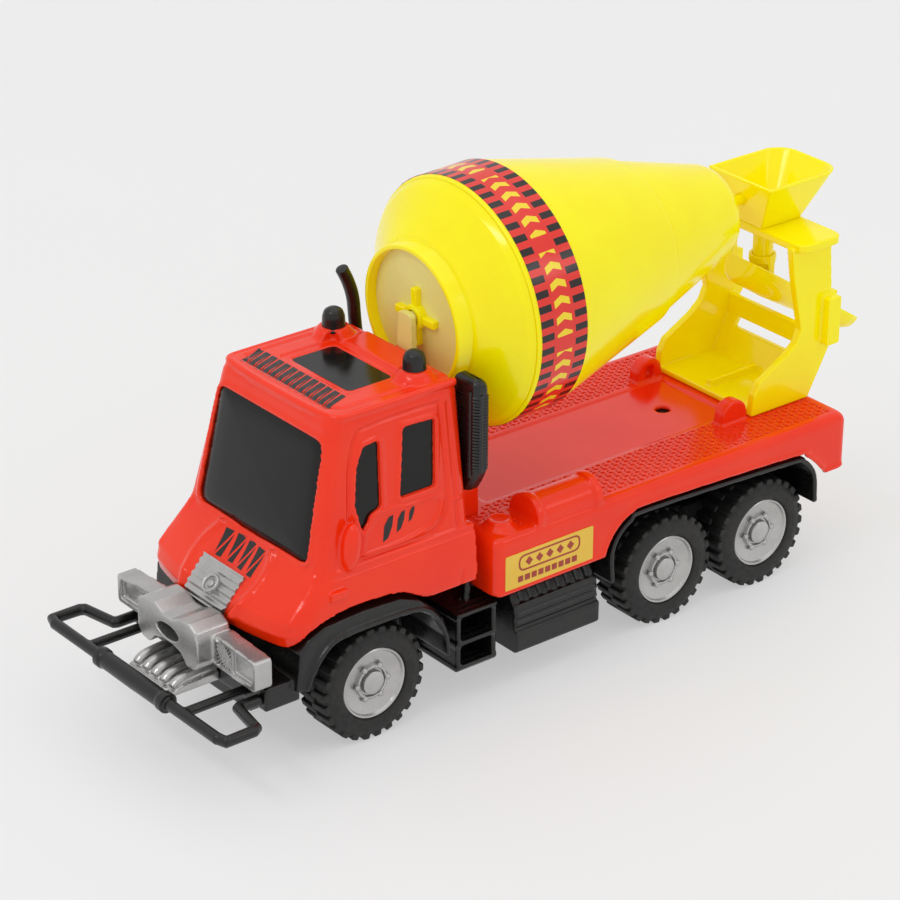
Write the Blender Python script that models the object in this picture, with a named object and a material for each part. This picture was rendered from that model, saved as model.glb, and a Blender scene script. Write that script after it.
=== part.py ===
"""Toy cement mixer truck, modelled in Blender at its real size.

World frame: X is the width (+X is the truck's left side), Y is the length with the front at -Y,
Z is up, and the origin is on the floor under the middle of the truck's box.
Sizes below are millimetres. The mesh builders scale them to metres.
"""

import math

import bmesh
import bpy
from mathutils import Matrix, Vector

MM = 0.001
GAP = 0.3

# ---- driving dimensions -------------------------------------------------------------------
TYRE_RADIUS = 21.0
TYRE_WIDTH = 16.0
RIM_RADIUS = 12.95
WHEEL_X = 31.4
AXLE_Y = {"front": -93.0, "middle": 37.9, "rear": 84.2}
AXLE_RADIUS = 1.5
AXLE_CLEARANCE = 0.4

CHASSIS_HALF = 17.0
CHASSIS_TOP = 30.0
CHASSIS_BOTTOM = 13.0
MUDGUARD_X = 43.0
APRON_FRONT_Y = -138.0

DECK_Z = 61.5
BED_FRONT_Y = -46.0
BED_REAR_Y = 120.0
BED_HALF = 44.5
SKIRT_BOTTOM = 39.5
WALL = 2.0

BELT_Z = 67.0
ROOF_Z = 119.5
BELT_HALF = 38.4
ROOF_HALF = 31.3
CAB_REAR_Y = -51.0
WINDSCREEN_Y = -114.6
WINDSCREEN_RISE = 10.9

DRUM_PIVOT = (0.0, 101.3, 134.5)
DRUM_TILT = 2.2
DRUM_RADIUS = 44.6
DRUM_WALL = 1.8
RING_RADIUS = 25.6
SPINDLE_RADIUS = 2.2

FRAME_HALF = 26.5
BRIDGE_Z = 122.0
BRIDGE_THICKNESS = 3.0
HOPPER_TOP = 143.0
SPOUT = (0.0, 116.0)
SPOUT_RADIUS = 3.8
CHUTE_SLOPE = 33.0
CHUTE_RIM_Z = 104.2
CHUTE_TIP_Y = 166.9

BAR_Z = 30.0
BAR_RADIUS = 2.1
BAR_FRONT_Y = -163.3
ROLLER_RADIUS = 3.6
BUMPER_BACK_Y = -135.4


# ---- scene and materials ------------------------------------------------------------------
def clear_scene():
    for obj in list(bpy.data.objects):
        bpy.data.objects.remove(obj, do_unlink=True)


def make_material(name, colour, roughness, metallic=0.0):
    material = bpy.data.materials.new(name)
    material.use_nodes = True
    shader = material.node_tree.nodes["Principled BSDF"]
    shader.inputs["Base Color"].default_value = (*colour, 1.0)
    shader.inputs["Roughness"].default_value = roughness
    shader.inputs["Metallic"].default_value = metallic
    return material


def make_materials():
    return {
        "red": make_material("red_plastic", (0.83, 0.05, 0.02), 0.3),
        "yellow": make_material("yellow_plastic", (0.95, 0.75, 0.01), 0.3),
        "black": make_material("black_plastic", (0.01, 0.01, 0.01), 0.45),
        "glass": make_material("dark_glazing", (0.03, 0.03, 0.03), 0.2),
        "silver": make_material("silver_paint", (0.55, 0.55, 0.56), 0.35, 0.8),
        "rubber": make_material("tyre_rubber", (0.015, 0.015, 0.015), 0.7),
        "steel": make_material("axle_steel", (0.5, 0.5, 0.5), 0.3, 1.0),
        "band": make_material("band_sticker", (0.8, 0.06, 0.03), 0.25),
        "label": make_material("label_sticker", (0.85, 0.6, 0.08), 0.4),
    }


# ---- mesh builders ------------------------------------------------------------------------
def loft(rings, closed=False):
    """A closed body through rings of points, capped at both ends unless the rings close up."""
    bm = bmesh.new()
    rows = [[bm.verts.new(Vector(point) * MM) for point in ring] for ring in rings]
    pairs = list(zip(rows, rows[1:]))
    if closed:
        pairs.append((rows[-1], rows[0]))
    else:
        bm.faces.new(rows[0])
        bm.faces.new(rows[-1])
    for lower, upper in pairs:
        for i in range(len(lower)):
            j = (i + 1) % len(lower)
            bm.faces.new((lower[i], lower[j], upper[j], upper[i]))
    bmesh.ops.recalc_face_normals(bm, faces=bm.faces)
    return bm


def prism(outline, axis, low, high):
    """An outline of two coordinates, extruded along the third axis."""
    place = {
        "X": lambda a, b, depth: (depth, a, b),
        "Y": lambda a, b, depth: (a, depth, b),
        "Z": lambda a, b, depth: (a, b, depth),
    }[axis]
    return loft([[place(a, b, depth) for a, b in outline] for depth in (low, high)])


def box(x, y, z):
    """A box from three (low, high) pairs."""
    outline = [(x[0], y[0]), (x[1], y[0]), (x[1], y[1]), (x[0], y[1])]
    return prism(outline, "Z", *z)


def lathe(profile, axis, steps, ring=False):
    """A profile of (along, radius) points turned about X, Y or Z. A ring profile closes up."""
    turn = {
        "X": lambda along, side, up: (along, side, up),
        "Y": lambda along, side, up: (side, along, up),
        "Z": lambda along, side, up: (side, up, along),
    }[axis]
    bm = bmesh.new()
    rows = []
    for along, radius in profile:
        if radius < 1e-6:
            rows.append([bm.verts.new(Vector(turn(along, 0, 0)) * MM)])
            continue
        angles = [2 * math.pi * i / steps for i in range(steps)]
        points = [turn(along, radius * math.cos(a), radius * math.sin(a)) for a in angles]
        rows.append([bm.verts.new(Vector(point) * MM) for point in points])
    pairs = list(zip(rows, rows[1:]))
    if ring:
        pairs.append((rows[-1], rows[0]))
    for first, second in pairs:
        for i in range(steps):
            j = (i + 1) % steps
            corners = [first[i % len(first)], first[j % len(first)]]
            corners += [second[j % len(second)], second[i % len(second)]]
            bm.faces.new(list(dict.fromkeys(corners)))
    bmesh.ops.recalc_face_normals(bm, faces=bm.faces)
    return bm


def tube(path, radius, sides=10):
    """A round bar along a path of points, with flat ends."""
    points = [Vector(point) for point in path]
    rings = []
    side = None
    for i, point in enumerate(points):
        ahead = points[min(i + 1, len(points) - 1)] - point
        behind = point - points[max(i - 1, 0)]
        direction = (ahead.normalized() + behind.normalized()).normalized()
        if side is None:
            guide = Vector((0, 0, 1)) if abs(direction.z) < 0.9 else Vector((0, 1, 0))
            side = direction.cross(guide)
        side = (side - direction * side.dot(direction)).normalized()
        up = direction.cross(side)
        miter = 1.0
        if 0 < i < len(points) - 1:
            miter = 1.0 / max(direction.dot(ahead.normalized()), 0.6)
        turn = (ahead.normalized() - behind.normalized()) if miter > 1.0 else Vector()
        turn = turn.normalized() if turn.length > 1e-6 else Vector()
        ring = []
        for k in range(sides):
            angle = 2 * math.pi * k / sides
            offset = side * math.cos(angle) * radius + up * math.sin(angle) * radius
            offset += turn * offset.dot(turn) * (miter - 1.0)
            ring.append(point + offset)
        rings.append(ring)
    return loft(rings)


def arc(centre, radius, start, end, steps):
    """Points on an arc in a plane, with angles in degrees."""
    angles = [math.radians(start + (end - start) * i / steps) for i in range(steps + 1)]
    return [(centre[0] + radius * math.cos(a), centre[1] + radius * math.sin(a)) for a in angles]


def rounded(corners, radius, steps=3):
    """The outline with each corner replaced by a fillet."""
    outline = []
    for i, corner in enumerate(corners):
        here = Vector(corner)
        before = (Vector(corners[i - 1]) - here).normalized()
        after = (Vector(corners[(i + 1) % len(corners)]) - here).normalized()
        half = math.acos(max(-1.0, min(1.0, before.dot(after)))) / 2
        reach = radius / math.tan(half)
        start = here + before * reach
        end = here + after * reach
        for k in range(steps + 1):
            t = k / steps
            point = start * (1 - t) ** 2 + here * 2 * t * (1 - t) + end * t**2
            outline.append((point.x, point.y))
    return outline


def rounded_rectangle(half_width, low_y, high_y, radius, steps=3):
    corners = [(-half_width, low_y), (half_width, low_y), (half_width, high_y), (-half_width, high_y)]
    return rounded(corners, radius, steps)


def band_outline(path, thickness):
    """A closed outline between a path and the same path moved sideways by a thickness."""
    points = [Vector(point) for point in path]
    inner = []
    for i, point in enumerate(points):
        ahead = (points[min(i + 1, len(points) - 1)] - points[max(i - 1, 0)]).normalized()
        inner.append(point + Vector((ahead.y, -ahead.x)) * thickness)
    return [tuple(point) for point in points] + [tuple(point) for point in reversed(inner)]


def moved(bm, offset):
    bmesh.ops.translate(bm, verts=bm.verts, vec=Vector(offset) * MM)
    return bm


# ---- objects ------------------------------------------------------------------------------
def add_object(name, bm, material=None, parent=None, location=None):
    mesh = bpy.data.meshes.new(name)
    bm.to_mesh(mesh)
    bm.free()
    obj = bpy.data.objects.new(name, mesh)
    bpy.context.scene.collection.objects.link(obj)
    if material:
        mesh.materials.append(material)
        mesh.shade_smooth()
        mesh.set_sharp_from_angle(angle=math.radians(35))
    if parent:
        obj.parent = parent
    if location:
        obj.location = Vector(location) * MM
    return obj


def combine(target, bm, operation):
    """Joins a shape to the target or cuts it away, through a hidden helper object."""
    helper = add_object(f"{target.name}_helper", bm)
    helper.hide_render = True
    helper.display_type = "WIRE"
    if target.parent:
        helper.parent = target.parent
    modifier = target.modifiers.new(operation.lower(), "BOOLEAN")
    modifier.operation = operation
    modifier.object = helper
    modifier.solver = "EXACT"


def join(target, *shapes):
    for bm in shapes:
        combine(target, bm, "UNION")


def cut(target, *shapes):
    for bm in shapes:
        combine(target, bm, "DIFFERENCE")


def add_empty(name, location, tilt=0.0, turn=0.0):
    empty = bpy.data.objects.new(name, None)
    empty.location = Vector(location) * MM
    empty.rotation_euler = (math.radians(tilt), 0.0, math.radians(turn))
    bpy.context.scene.collection.objects.link(empty)
    return empty


# ---- wheels -------------------------------------------------------------------------------
def tyre_shape():
    half = TYRE_WIDTH / 2
    bore = RIM_RADIUS + GAP
    profile = [(-half, bore), (-half, 17.5), (-half + 2, 20.4), (-half + 3.2, TYRE_RADIUS)]
    profile += [(-along, radius) for along, radius in reversed(profile)]
    return lathe(profile, "X", 28, ring=True)


def rim_shape(side):
    hub = AXLE_RADIUS + GAP
    profile = [(5.0, 0), (5.0, 4.6), (3.2, 5.2), (3.2, 10.4), (7.0, 11.8), (7.0, RIM_RADIUS)]
    profile += [(-6.0, RIM_RADIUS), (-6.0, 11.6), (0.0, 10.4), (0.0, 4.2), (-6.0, 4.2)]
    profile += [(-6.0, hub), (3.0, hub), (3.0, 0)]
    return lathe([(along * side, radius) for along, radius in profile], "X", 20)


def add_axle(name, y, materials):
    """One steel axle with a tyre on a rim at each end, all turning about the axle's line."""
    hub = add_empty(f"{name}_axle_line", (0, y, TYRE_RADIUS))
    length = WHEEL_X + 2.7
    profile = [(-length, 0), (-length, AXLE_RADIUS), (length, AXLE_RADIUS), (length, 0)]
    add_object(f"{name}_axle", lathe(profile, "X", 12), materials["steel"], hub)
    for side, word in ((1, "left"), (-1, "right")):
        place = (side * WHEEL_X, 0, 0)
        add_object(f"{name}_{word}_tyre", tyre_shape(), materials["rubber"], hub, place)
        add_object(f"{name}_{word}_rim", rim_shape(side), materials["silver"], hub, place)


# ---- chassis ------------------------------------------------------------------------------
def front_mudguard():
    """Side outline of the front mudguard: its outer edge, then the wheel opening backwards."""
    y = AXLE_Y["front"]
    outer = [
        (y - 34.0, 30.4), (y - 32.0, 47.2), (y - 22.0, 51.2), (y + 9.0, 51.6),
        (y + 20.0, 46.4), (y + 31.0, 36.0), (y + 31.0, 23.5),
    ]
    opening = [
        (y + 27.7, 23.5), (y + 24.8, 37.7), (y + 14.2, 45.7), (y - 21.6, 44.9),
        (y - 25.0, 39.9), (y - 30.0, 30.4),
    ]
    return outer + opening


def rear_mudguard():
    """Side outline of the long mudguard over the two rear wheels."""
    front = AXLE_Y["middle"]
    rear = AXLE_Y["rear"]
    path = [
        (front - 30.6, 27.4), (front - 31.1, 39.2), (front - 24.0, 49.6), (front - 16.7, 52.3),
        (rear + 12.3, 48.9), (rear + 19.2, 46.2), (rear + 22.5, 38.7), (rear + 23.2, 28.6),
    ]
    return band_outline(path, 1.8)


def add_chassis(material):
    half = CHASSIS_HALF
    spine = box((-half, half), (-129.0, 114.0), (CHASSIS_BOTTOM, CHASSIS_TOP))
    chassis = add_object("chassis", spine, material)
    join(chassis, box((-12, 12), (-44, 110), (CHASSIS_TOP - 1, DECK_Z - WALL - GAP)))
    join(chassis, box((-12, 12), (-126, -64), (CHASSIS_TOP - 1, 48.0)))
    join(chassis, box((-39, 39), (APRON_FRONT_Y, -124.0), (26.0, 34.5)))
    for side in (-1, 1):
        inner = side * 11.0
        join(chassis, prism(front_mudguard(), "X", inner, side * MUDGUARD_X))
        join(chassis, prism(rear_mudguard(), "X", inner, side * (MUDGUARD_X + 1)))
        join(chassis, side_tank(side), *step_ladder(side))
    reach = MUDGUARD_X + 4
    bore = AXLE_RADIUS + AXLE_CLEARANCE
    for y in AXLE_Y.values():
        hole = lathe([(-reach, 0), (-reach, bore), (reach, bore), (reach, 0)], "X", 12)
        cut(chassis, moved(hole, (0, y, TYRE_RADIUS)))
    for x, y in SCREWS:
        cut(chassis, screw_shape(x, y, GAP))
    return chassis


def side_tank(side):
    """The box under the front of the bed, with a ledge along its outer face."""
    inner = side * (CHASSIS_HALF - 1)
    outer = side * 41.0
    ledge = side * 38.5
    corners = [(inner, 11.7), (ledge, 11.7), (outer, 19.0), (outer, 28.6), (inner, 28.6)]
    outline = [(x, z) for x, z in corners]
    return prism(outline, "Y", -33.0, 4.5)


def step_ladder(side):
    """Three rungs between two cheeks, hung behind the front wheel."""
    xs = sorted((side * (CHASSIS_HALF - 1), side * 40.0))
    cheeks = [box(xs, (low, low + 2.4), (14.4, 36.0)) for low in (-58.4, -44.6)]
    rungs = [box(xs, (-59.0, -41.6), (z, z + 2.6)) for z in (13.4, 22.8, 34.4)]
    return rungs + cheeks


SCREWS = [(10.0, -108.0), (-10.0, -108.0), (10.0, 8.0), (-10.0, 8.0)]


def screw_shape(x, y, grow=0.0):
    """A pan head screw driven upwards. Grown, it is the hole that the screw sits in."""
    low = CHASSIS_BOTTOM + 0.5 - (3.0 if grow else 0.0)
    head_top = CHASSIS_BOTTOM + 2.2 + grow
    tip = CHASSIS_BOTTOM + 11.0 + grow
    head = 2.6 + grow
    shank = 1.2 + grow
    profile = [(tip, 0), (tip, shank), (head_top, shank), (head_top, head), (low, head), (low, 0)]
    return moved(lathe(profile, "Z", 12), (x, y, 0))


def add_screws(material):
    for number, (x, y) in enumerate(SCREWS, 1):
        add_object(f"chassis_screw_{number}", screw_shape(x, y), material)


# ---- cab ----------------------------------------------------------------------------------
def cab_section(z, grow=0.0, shrink=1.0):
    """The cab's plan outline above the belt line, at one height."""
    rise = (z - BELT_Z) / (ROOF_Z - BELT_Z)
    half = (BELT_HALF + (ROOF_HALF - BELT_HALF) * rise + grow) * shrink
    middle = -80.0
    front = middle + (WINDSCREEN_Y + WINDSCREEN_RISE * rise - grow - middle) * shrink
    rear = middle + (CAB_REAR_Y - 0.6 + grow - middle) * shrink
    return [(x, y, z) for x, y in rounded_rectangle(half, front, rear, 4.0 + grow, 3)]


def cab_upper(grow, low, high, crown=0.0):
    """The greenhouse above the belt line. A crown narrows its top edge."""
    rings = [cab_section(low, grow), cab_section(high - crown, grow)]
    if crown:
        rings.append(cab_section(high, grow, 0.94))
    return loft(rings)


def cab_plan(z, half, nose, bow, rear=CAB_REAR_Y):
    """A plan outline below the belt line, with the nose bowed back towards the corners."""
    shares = [1.0 - i / 4 for i in range(9)]
    front = [(half * share, nose + bow * share**2, z) for share in shares]
    return [(-half, rear, z), (half, rear, z)] + front


def cab_lower(inset, low, high):
    levels = [(low, 41.0, -133.5, 7.0), (50.0, 41.0, -133.2, 7.0), (60.5, 40.4, -124.0, 5.0)]
    levels.append((high, 39.6, -117.0, 1.5))
    rear = CAB_REAR_Y - inset
    return loft([cab_plan(z, half - inset, nose + inset, bow, rear) for z, half, nose, bow in levels])


def cab_arch():
    """What the front wheels' arches and the sill cut away from below the cab."""
    y = AXLE_Y["front"]
    return [
        (y - 36.0, 36.0), (y - 36.0, 43.8), (y - 28.0, 50.9), (y - 10.4, 54.6), (y + 9.4, 53.6),
        (y + 19.0, 48.5), (y + 22.0, 47.5), (CAB_REAR_Y + 6, 47.5), (CAB_REAR_Y + 6, 36.0),
    ]


def add_cab(material):
    cab = add_object("cab_shell", cab_lower(0.0, 44.5, BELT_Z + 1), material)
    join(cab, cab_upper(0.0, BELT_Z - 1, ROOF_Z, crown=2.2), *beacon_pods())
    cut(cab, cab_lower(WALL, 40.0, BELT_Z - 1), cab_upper(-WALL, BELT_Z - 3, ROOF_Z - WALL))
    cut(cab, prism(cab_arch(), "X", -60, 60), *window_cutters())
    return cab


def beacon_pods():
    top = ROOF_Z + 1.8
    profile = [(ROOF_Z - 1, 0), (ROOF_Z - 1, 5.6), (top - 0.6, 5.4), (top, 4.8), (top, 0)]
    return [moved(lathe(profile, "Z", 16), (side * 22.2, -63.4, 0)) for side in (-1, 1)]


def windscreen_outline():
    return rounded([(-31.4, 70.0), (31.4, 70.0), (29.0, 110.5), (-29.0, 110.5)], 2.5)


def quarter_window_outline():
    return [(-85.5, 108.2), (-95.7, 106.9), (-99.6, 87.7), (-96.4, 74.7), (-92.4, 83.0), (-87.4, 84.2)]


def door_window_outline():
    return rounded([(-81.4, 84.7), (-66.1, 84.8), (-64.0, 109.3), (-78.4, 109.6)], 1.5)


def roof_window_outline():
    return rounded([(-16.2, -85.6), (16.2, -85.6), (16.2, -69.6), (-16.2, -69.6)], 1.5)


def window_cutters():
    return [
        prism(windscreen_outline(), "Y", -125, -95),
        prism(quarter_window_outline(), "X", -50, 50),
        prism(door_window_outline(), "X", -50, 50),
        prism(roof_window_outline(), "Z", ROOF_Z - 5, ROOF_Z + 5),
    ]


def add_window_insert(material):
    """One dark shell behind all of the cab's window openings."""
    top = ROOF_Z - WALL - GAP
    insert = add_object("window_insert", cab_upper(-WALL - GAP, 70.5, top), material)
    cut(insert, cab_upper(-WALL - GAP - 1.2, 60.0, top - 1.2))
    return insert


def add_beacons(material):
    base = ROOF_Z + 1.8 + GAP
    profile = [(base, 0), (base, 4.2), (base + 6.0, 4.2), (base + 7.6, 3.0), (base + 8.2, 0)]
    for side, word in ((1, "left"), (-1, "right")):
        beacon = moved(lathe(profile, "Z", 16), (side * 22.2, -63.4, 0))
        add_object(f"beacon_{word}", beacon, material)


def add_grille(material):
    """The ribbed plate on the hood's front face. It leans back with the hood above z 50."""
    front = [(-135.0, 48.3), (-134.9, 50.0), (-125.4, 60.8)]
    back = [(-124.4, 60.8), (-133.8, 50.2), (-133.8, 48.3)]
    plate = add_object("grille_plate", prism(front + back, "X", -14, 14), material)
    side = [(6.0, 46.0), (9.5, 49.5), (10.8, 55.0), (11.2, 62.0)]
    outline = side + [(-x, z) for x, z in reversed(side)]
    combine(plate, prism(outline, "Y", -140, -120), "INTERSECT")


# ---- front bumper, skid plate and bull bar ------------------------------------------------
def add_bumper(material):
    """Two headlight blocks with a double hump between them that stands forward and has an oval hole."""
    back = BUMPER_BACK_Y
    bumper = add_object("bumper", box((-20, 20), (-142.2, back), (37.0, 46.5)), material)
    for side in (-1, 1):
        block = sorted((side * 18.5, side * 40.0))
        join(bumper, box(block, (-142.8, back - 0.4), (35.3, 47.5)))
        cut(bumper, headlight_recess(side))
    half_hump = [(2.6, 49.3), (7.5, 51.4), (12.5, 51.6), (16.6, 49.6), (17.6, 46.0), (17.6, 38.6), (15.4, 35.4)]
    half_hump += [(11.0, 34.8), (7.4, 38.6), (3.0, 39.6)]
    hump = half_hump + [(-x, z) for x, z in reversed(half_hump)]
    join(bumper, prism(hump, "Y", -149.6, back - 0.8))
    hole = [(5.0 * math.cos(i * math.pi / 8), 43.4 + 2.5 * math.sin(i * math.pi / 8)) for i in range(16)]
    cut(bumper, prism(hole, "Y", -151.0, -141.0))
    return bumper


def headlight_recess(side):
    low, high = sorted((side * 26.0, side * 37.0))
    outline = rounded([(low, 38.6), (high, 38.6), (high, 45.0), (low, 45.0)], 1.2, 2)
    return prism(outline, "Y", -146.0, -141.4)


def add_skid_plate(material):
    back = APRON_FRONT_Y - GAP
    outline = [(-157.0, 27.0), (-157.0, 28.6), (-152.5, 31.0), (back, 32.5), (back, 27.0)]
    plate = add_object("skid_plate", prism(outline, "X", -13.0, 13.0), material)
    for x in (-8.4, -2.8, 2.8, 8.4):
        groove = box((x - 0.7, x + 0.7), (-159.0, -141.0), (30.0, 34.0))
        cut(plate, groove)
    stub = lathe([(-157.6, 0), (-157.6, 2.2), (-150.0, 2.2), (-150.0, 0)], "Y", 12)
    join(plate, moved(stub, (8.0, 0, 26.2)))
    return plate


def add_bull_bar(material):
    """A front bar with a thick roller, a loop at each end and two struts back to the apron."""
    outer = 51.3
    front = BAR_FRONT_Y
    back = APRON_FRONT_Y - GAP
    bar = add_object("bull_bar", bar_tube([(-outer, front), (outer, front)], 1.0), material)
    thick = ROLLER_RADIUS
    thin = ROLLER_RADIUS - 0.6
    half = [(20.0, 0), (20.0, thick), (16.5, thick), (16.0, thin)]
    roller = [(-x, radius) for x, radius in half] + half[::-1]
    join(bar, moved(lathe(roller, "X", 14), (0, front, BAR_Z)))
    for side in (-1, 1):
        loop = [(outer, front - 0.5), (51.0, -150.0), (36.0, -147.0), (36.0, back)]
        join(bar, bar_tube([(side * x, y) for x, y in loop], 0.98))
        join(bar, bar_tube([(side * 28.0, front), (side * 28.0, back)], 0.9))
    return bar


def bar_tube(path, scale):
    return tube([(x, y, BAR_Z) for x, y in path], BAR_RADIUS * scale, 10)


# ---- bed ----------------------------------------------------------------------------------
def bed_outline(inset):
    half = BED_HALF - inset
    return rounded_rectangle(half, BED_FRONT_Y + inset, BED_REAR_Y - inset, 4.0 - inset, 3)


def bed_arch():
    """What the rear wheels' arches cut away from the bed's skirts."""
    front = AXLE_Y["middle"]
    rear = AXLE_Y["rear"]
    return [
        (front - 34.6, 36.0), (front - 34.4, 40.2), (front - 27.4, 51.1), (front - 20.1, 54.2),
        (rear + 8.4, 51.5), (rear + 19.6, 46.0), (rear + 25.5, 40.1), (rear + 25.6, 36.0),
    ]


def add_bed(material):
    """The red bed: a deck with skirts round it, open below."""
    bed = add_object("bed_shell", prism(bed_outline(0.0), "Z", SKIRT_BOTTOM, DECK_Z), material)
    cut(bed, prism(bed_outline(WALL), "Z", SKIRT_BOTTOM - 5, DECK_Z - WALL))
    cut(bed, prism(bed_arch(), "X", -60, 60))
    join(bed, deck_lug(-1), deck_lug(1), deck_tank(), filler_cap())
    hole = lathe([(DECK_Z - 5, 0), (DECK_Z - 5, 2.6), (DECK_Z + 3, 2.6), (DECK_Z + 3, 0)], "Z", 14)
    cut(bed, moved(hole, (0, 69, 0)))
    return bed


def deck_lug(side):
    top = arc((81.0, DECK_Z + 2.6), 6.0, 180, 0, 10)
    outline = [(75.0, DECK_Z - 1.0)] + top + [(87.0, DECK_Z - 1.0)]
    return prism(outline, "X", *sorted((side * 20.5, side * 25.5)))


def deck_tank():
    """The half-round tank on the left of the deck, behind the air intake."""
    outline = [(28.0, DECK_Z - 1.0)] + arc((36.0, DECK_Z + 0.5), 8.0, 180, 0, 10) + [(44.0, DECK_Z - 1.0)]
    return prism(outline, "Y", -27.0, 2.5)


def filler_cap():
    base = DECK_Z - 1.0
    top = DECK_Z + 3.2
    profile = [(base, 0), (base, 4.5), (top - 0.8, 4.5), (top, 3.6), (top, 0)]
    return moved(lathe(profile, "Z", 16), (36.5, -37.5, 0))


def add_labels(material):
    for side, word in ((1, "left"), (-1, "right")):
        xs = sorted((side * (BED_HALF + GAP), side * (BED_HALF + GAP + 0.5)))
        outline = rounded([(-41.7, 41.0), (-2.7, 41.0), (-2.7, 54.0), (-41.7, 54.0)], 1.5, 2)
        add_object(f"side_label_{word}", prism(outline, "X", *xs), material)


def add_front_support(material):
    """The block behind the cab and its thin post, with the spindle that the drum turns on."""
    foot = DECK_Z + GAP
    support = add_object("drum_front_support", box((-24, 24), (-48.0, -36.0), (foot, 88.0)), material)
    post = [(-16.0, 80.0), (16.0, 80.0), (4.5, 118.0), (3.6, 131.6), (-3.6, 131.6), (-4.5, 118.0)]
    join(support, prism(post, "Y", -50.5, -47.9))
    spindle = [(-151.0, 0), (-151.0, SPINDLE_RADIUS), (-143.8, SPINDLE_RADIUS), (-143.8, 0)]
    join(support, on_drum_line(lathe(spindle, "Y", 12)))
    return support


def on_drum_line(bm):
    """Turns and moves a shape from the drum's own frame to the world frame."""
    turn = Matrix.Rotation(math.radians(DRUM_TILT), 3, "X")
    bmesh.ops.rotate(bm, verts=bm.verts, matrix=turn)
    return moved(bm, DRUM_PIVOT)


def add_air_intake(material):
    """The ribbed intake on the cab's rear left corner, with a tail that narrows to a point."""
    middle = (32.7, -47.7)
    corners = [(-6.2, -2.9), (6.2, -2.9), (6.2, 2.9), (-6.2, 2.9)]
    rows = []
    for z, wide, deep in ((78.0, 0.3, 0.5), (86.0, 1.0, 1.0), (115.0, 1.0, 1.0), (119.6, 0.8, 0.75)):
        ring = rounded([(x * wide, y * deep) for x, y in corners], 1.0, 2)
        rows.append([(middle[0] + x, middle[1] + y, z) for x, y in ring])
    add_object("air_intake", loft(rows), material)


def add_exhaust(material):
    foot = DECK_Z + GAP
    path = [(-28.5, -43.2, foot), (-29.5, -45.6, 90.0), (-30.4, -48.0, 116.0)]
    path += [(-30.7, -48.8, 126.0), (-31.0, -50.6, 132.5), (-31.2, -53.2, 138.0)]
    add_object("exhaust_pipe", tube(path, 2.3, 12), material)


# ---- drum ---------------------------------------------------------------------------------
def add_drum(materials):
    """The mixing drum. Its pieces turn about the local Y axis of the line through the pivots."""
    line = add_empty("drum_line", DRUM_PIVOT, tilt=DRUM_TILT)
    steps = 40
    ring = RING_RADIUS
    bore = SPINDLE_RADIUS + 0.4
    front = [(-143.0, 0), (-143.0, bore), (-148.6, bore), (-148.6, 4.6), (-145.6, 4.6)]
    front += [(-145.6, ring - 1.8), (-149.0, ring - 1.8), (-149.0, ring), (-143.6, ring + 0.4)]
    front += [(-143.0, ring + 1.6), (-132.0, 42.0), (-130.3, DRUM_RADIUS - 1.0)]
    front += [(-130.3, DRUM_RADIUS - DRUM_WALL - 1.0), (-141.0, ring - 0.6), (-141.0, 0)]
    add_object("drum_front", lathe(front, "Y", steps), materials["yellow"], line)

    under_band = DRUM_RADIUS - 0.6
    outer = [(-130.0, DRUM_RADIUS - 0.4), (-128.6, DRUM_RADIUS), (-128.5, under_band)]
    outer += [(-108.8, under_band), (-108.7, DRUM_RADIUS - 0.2), (-55.4, 30.4)]
    inner = [(-55.4, 30.4 - DRUM_WALL), (-108.7, under_band - DRUM_WALL), (-130.0, under_band - DRUM_WALL)]
    add_object("drum_shell", lathe(outer + inner, "Y", steps, ring=True), materials["yellow"], line)

    rear = [(-13.8, 0), (-13.8, 13.4), (-17.0, 16.2), (-55.1, 28.0), (-55.1, 29.8), (-15.6, 17.8)]
    rear += [(-12.8, 16.0), (-12.0, 13.2), (-12.0, 0)]
    add_object("drum_rear", lathe(rear, "Y", steps), materials["yellow"], line)

    low = under_band + GAP
    band = [(-128.2, low), (-128.2, low + 0.5), (-109.1, low + 0.5), (-109.1, low)]
    add_object("drum_band", lathe(band, "Y", steps, ring=True), materials["band"], line)

    pin = [(-11.7, 0), (-11.7, 4.0), (-7.0, 4.0), (-7.0, 1.9), (4.4, 1.9), (4.4, 0)]
    add_object("rear_pivot_pin", lathe(pin, "Y", 14), materials["yellow"], line)


# ---- rear frame, hopper and chute ---------------------------------------------------------
def side_plate_outline():
    base = DECK_Z + GAP
    top = BRIDGE_Z + 1
    return [
        (88.5, base), (90.5, 73.5), (105.0, 81.5), (111.3, 90.0), (106.5, 111.8), (104.8, top),
        (124.2, top), (126.0, 102.0), (129.0, 101.3), (129.8, 84.3), (126.7, 80.5), (116.5, base),
    ]


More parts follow.
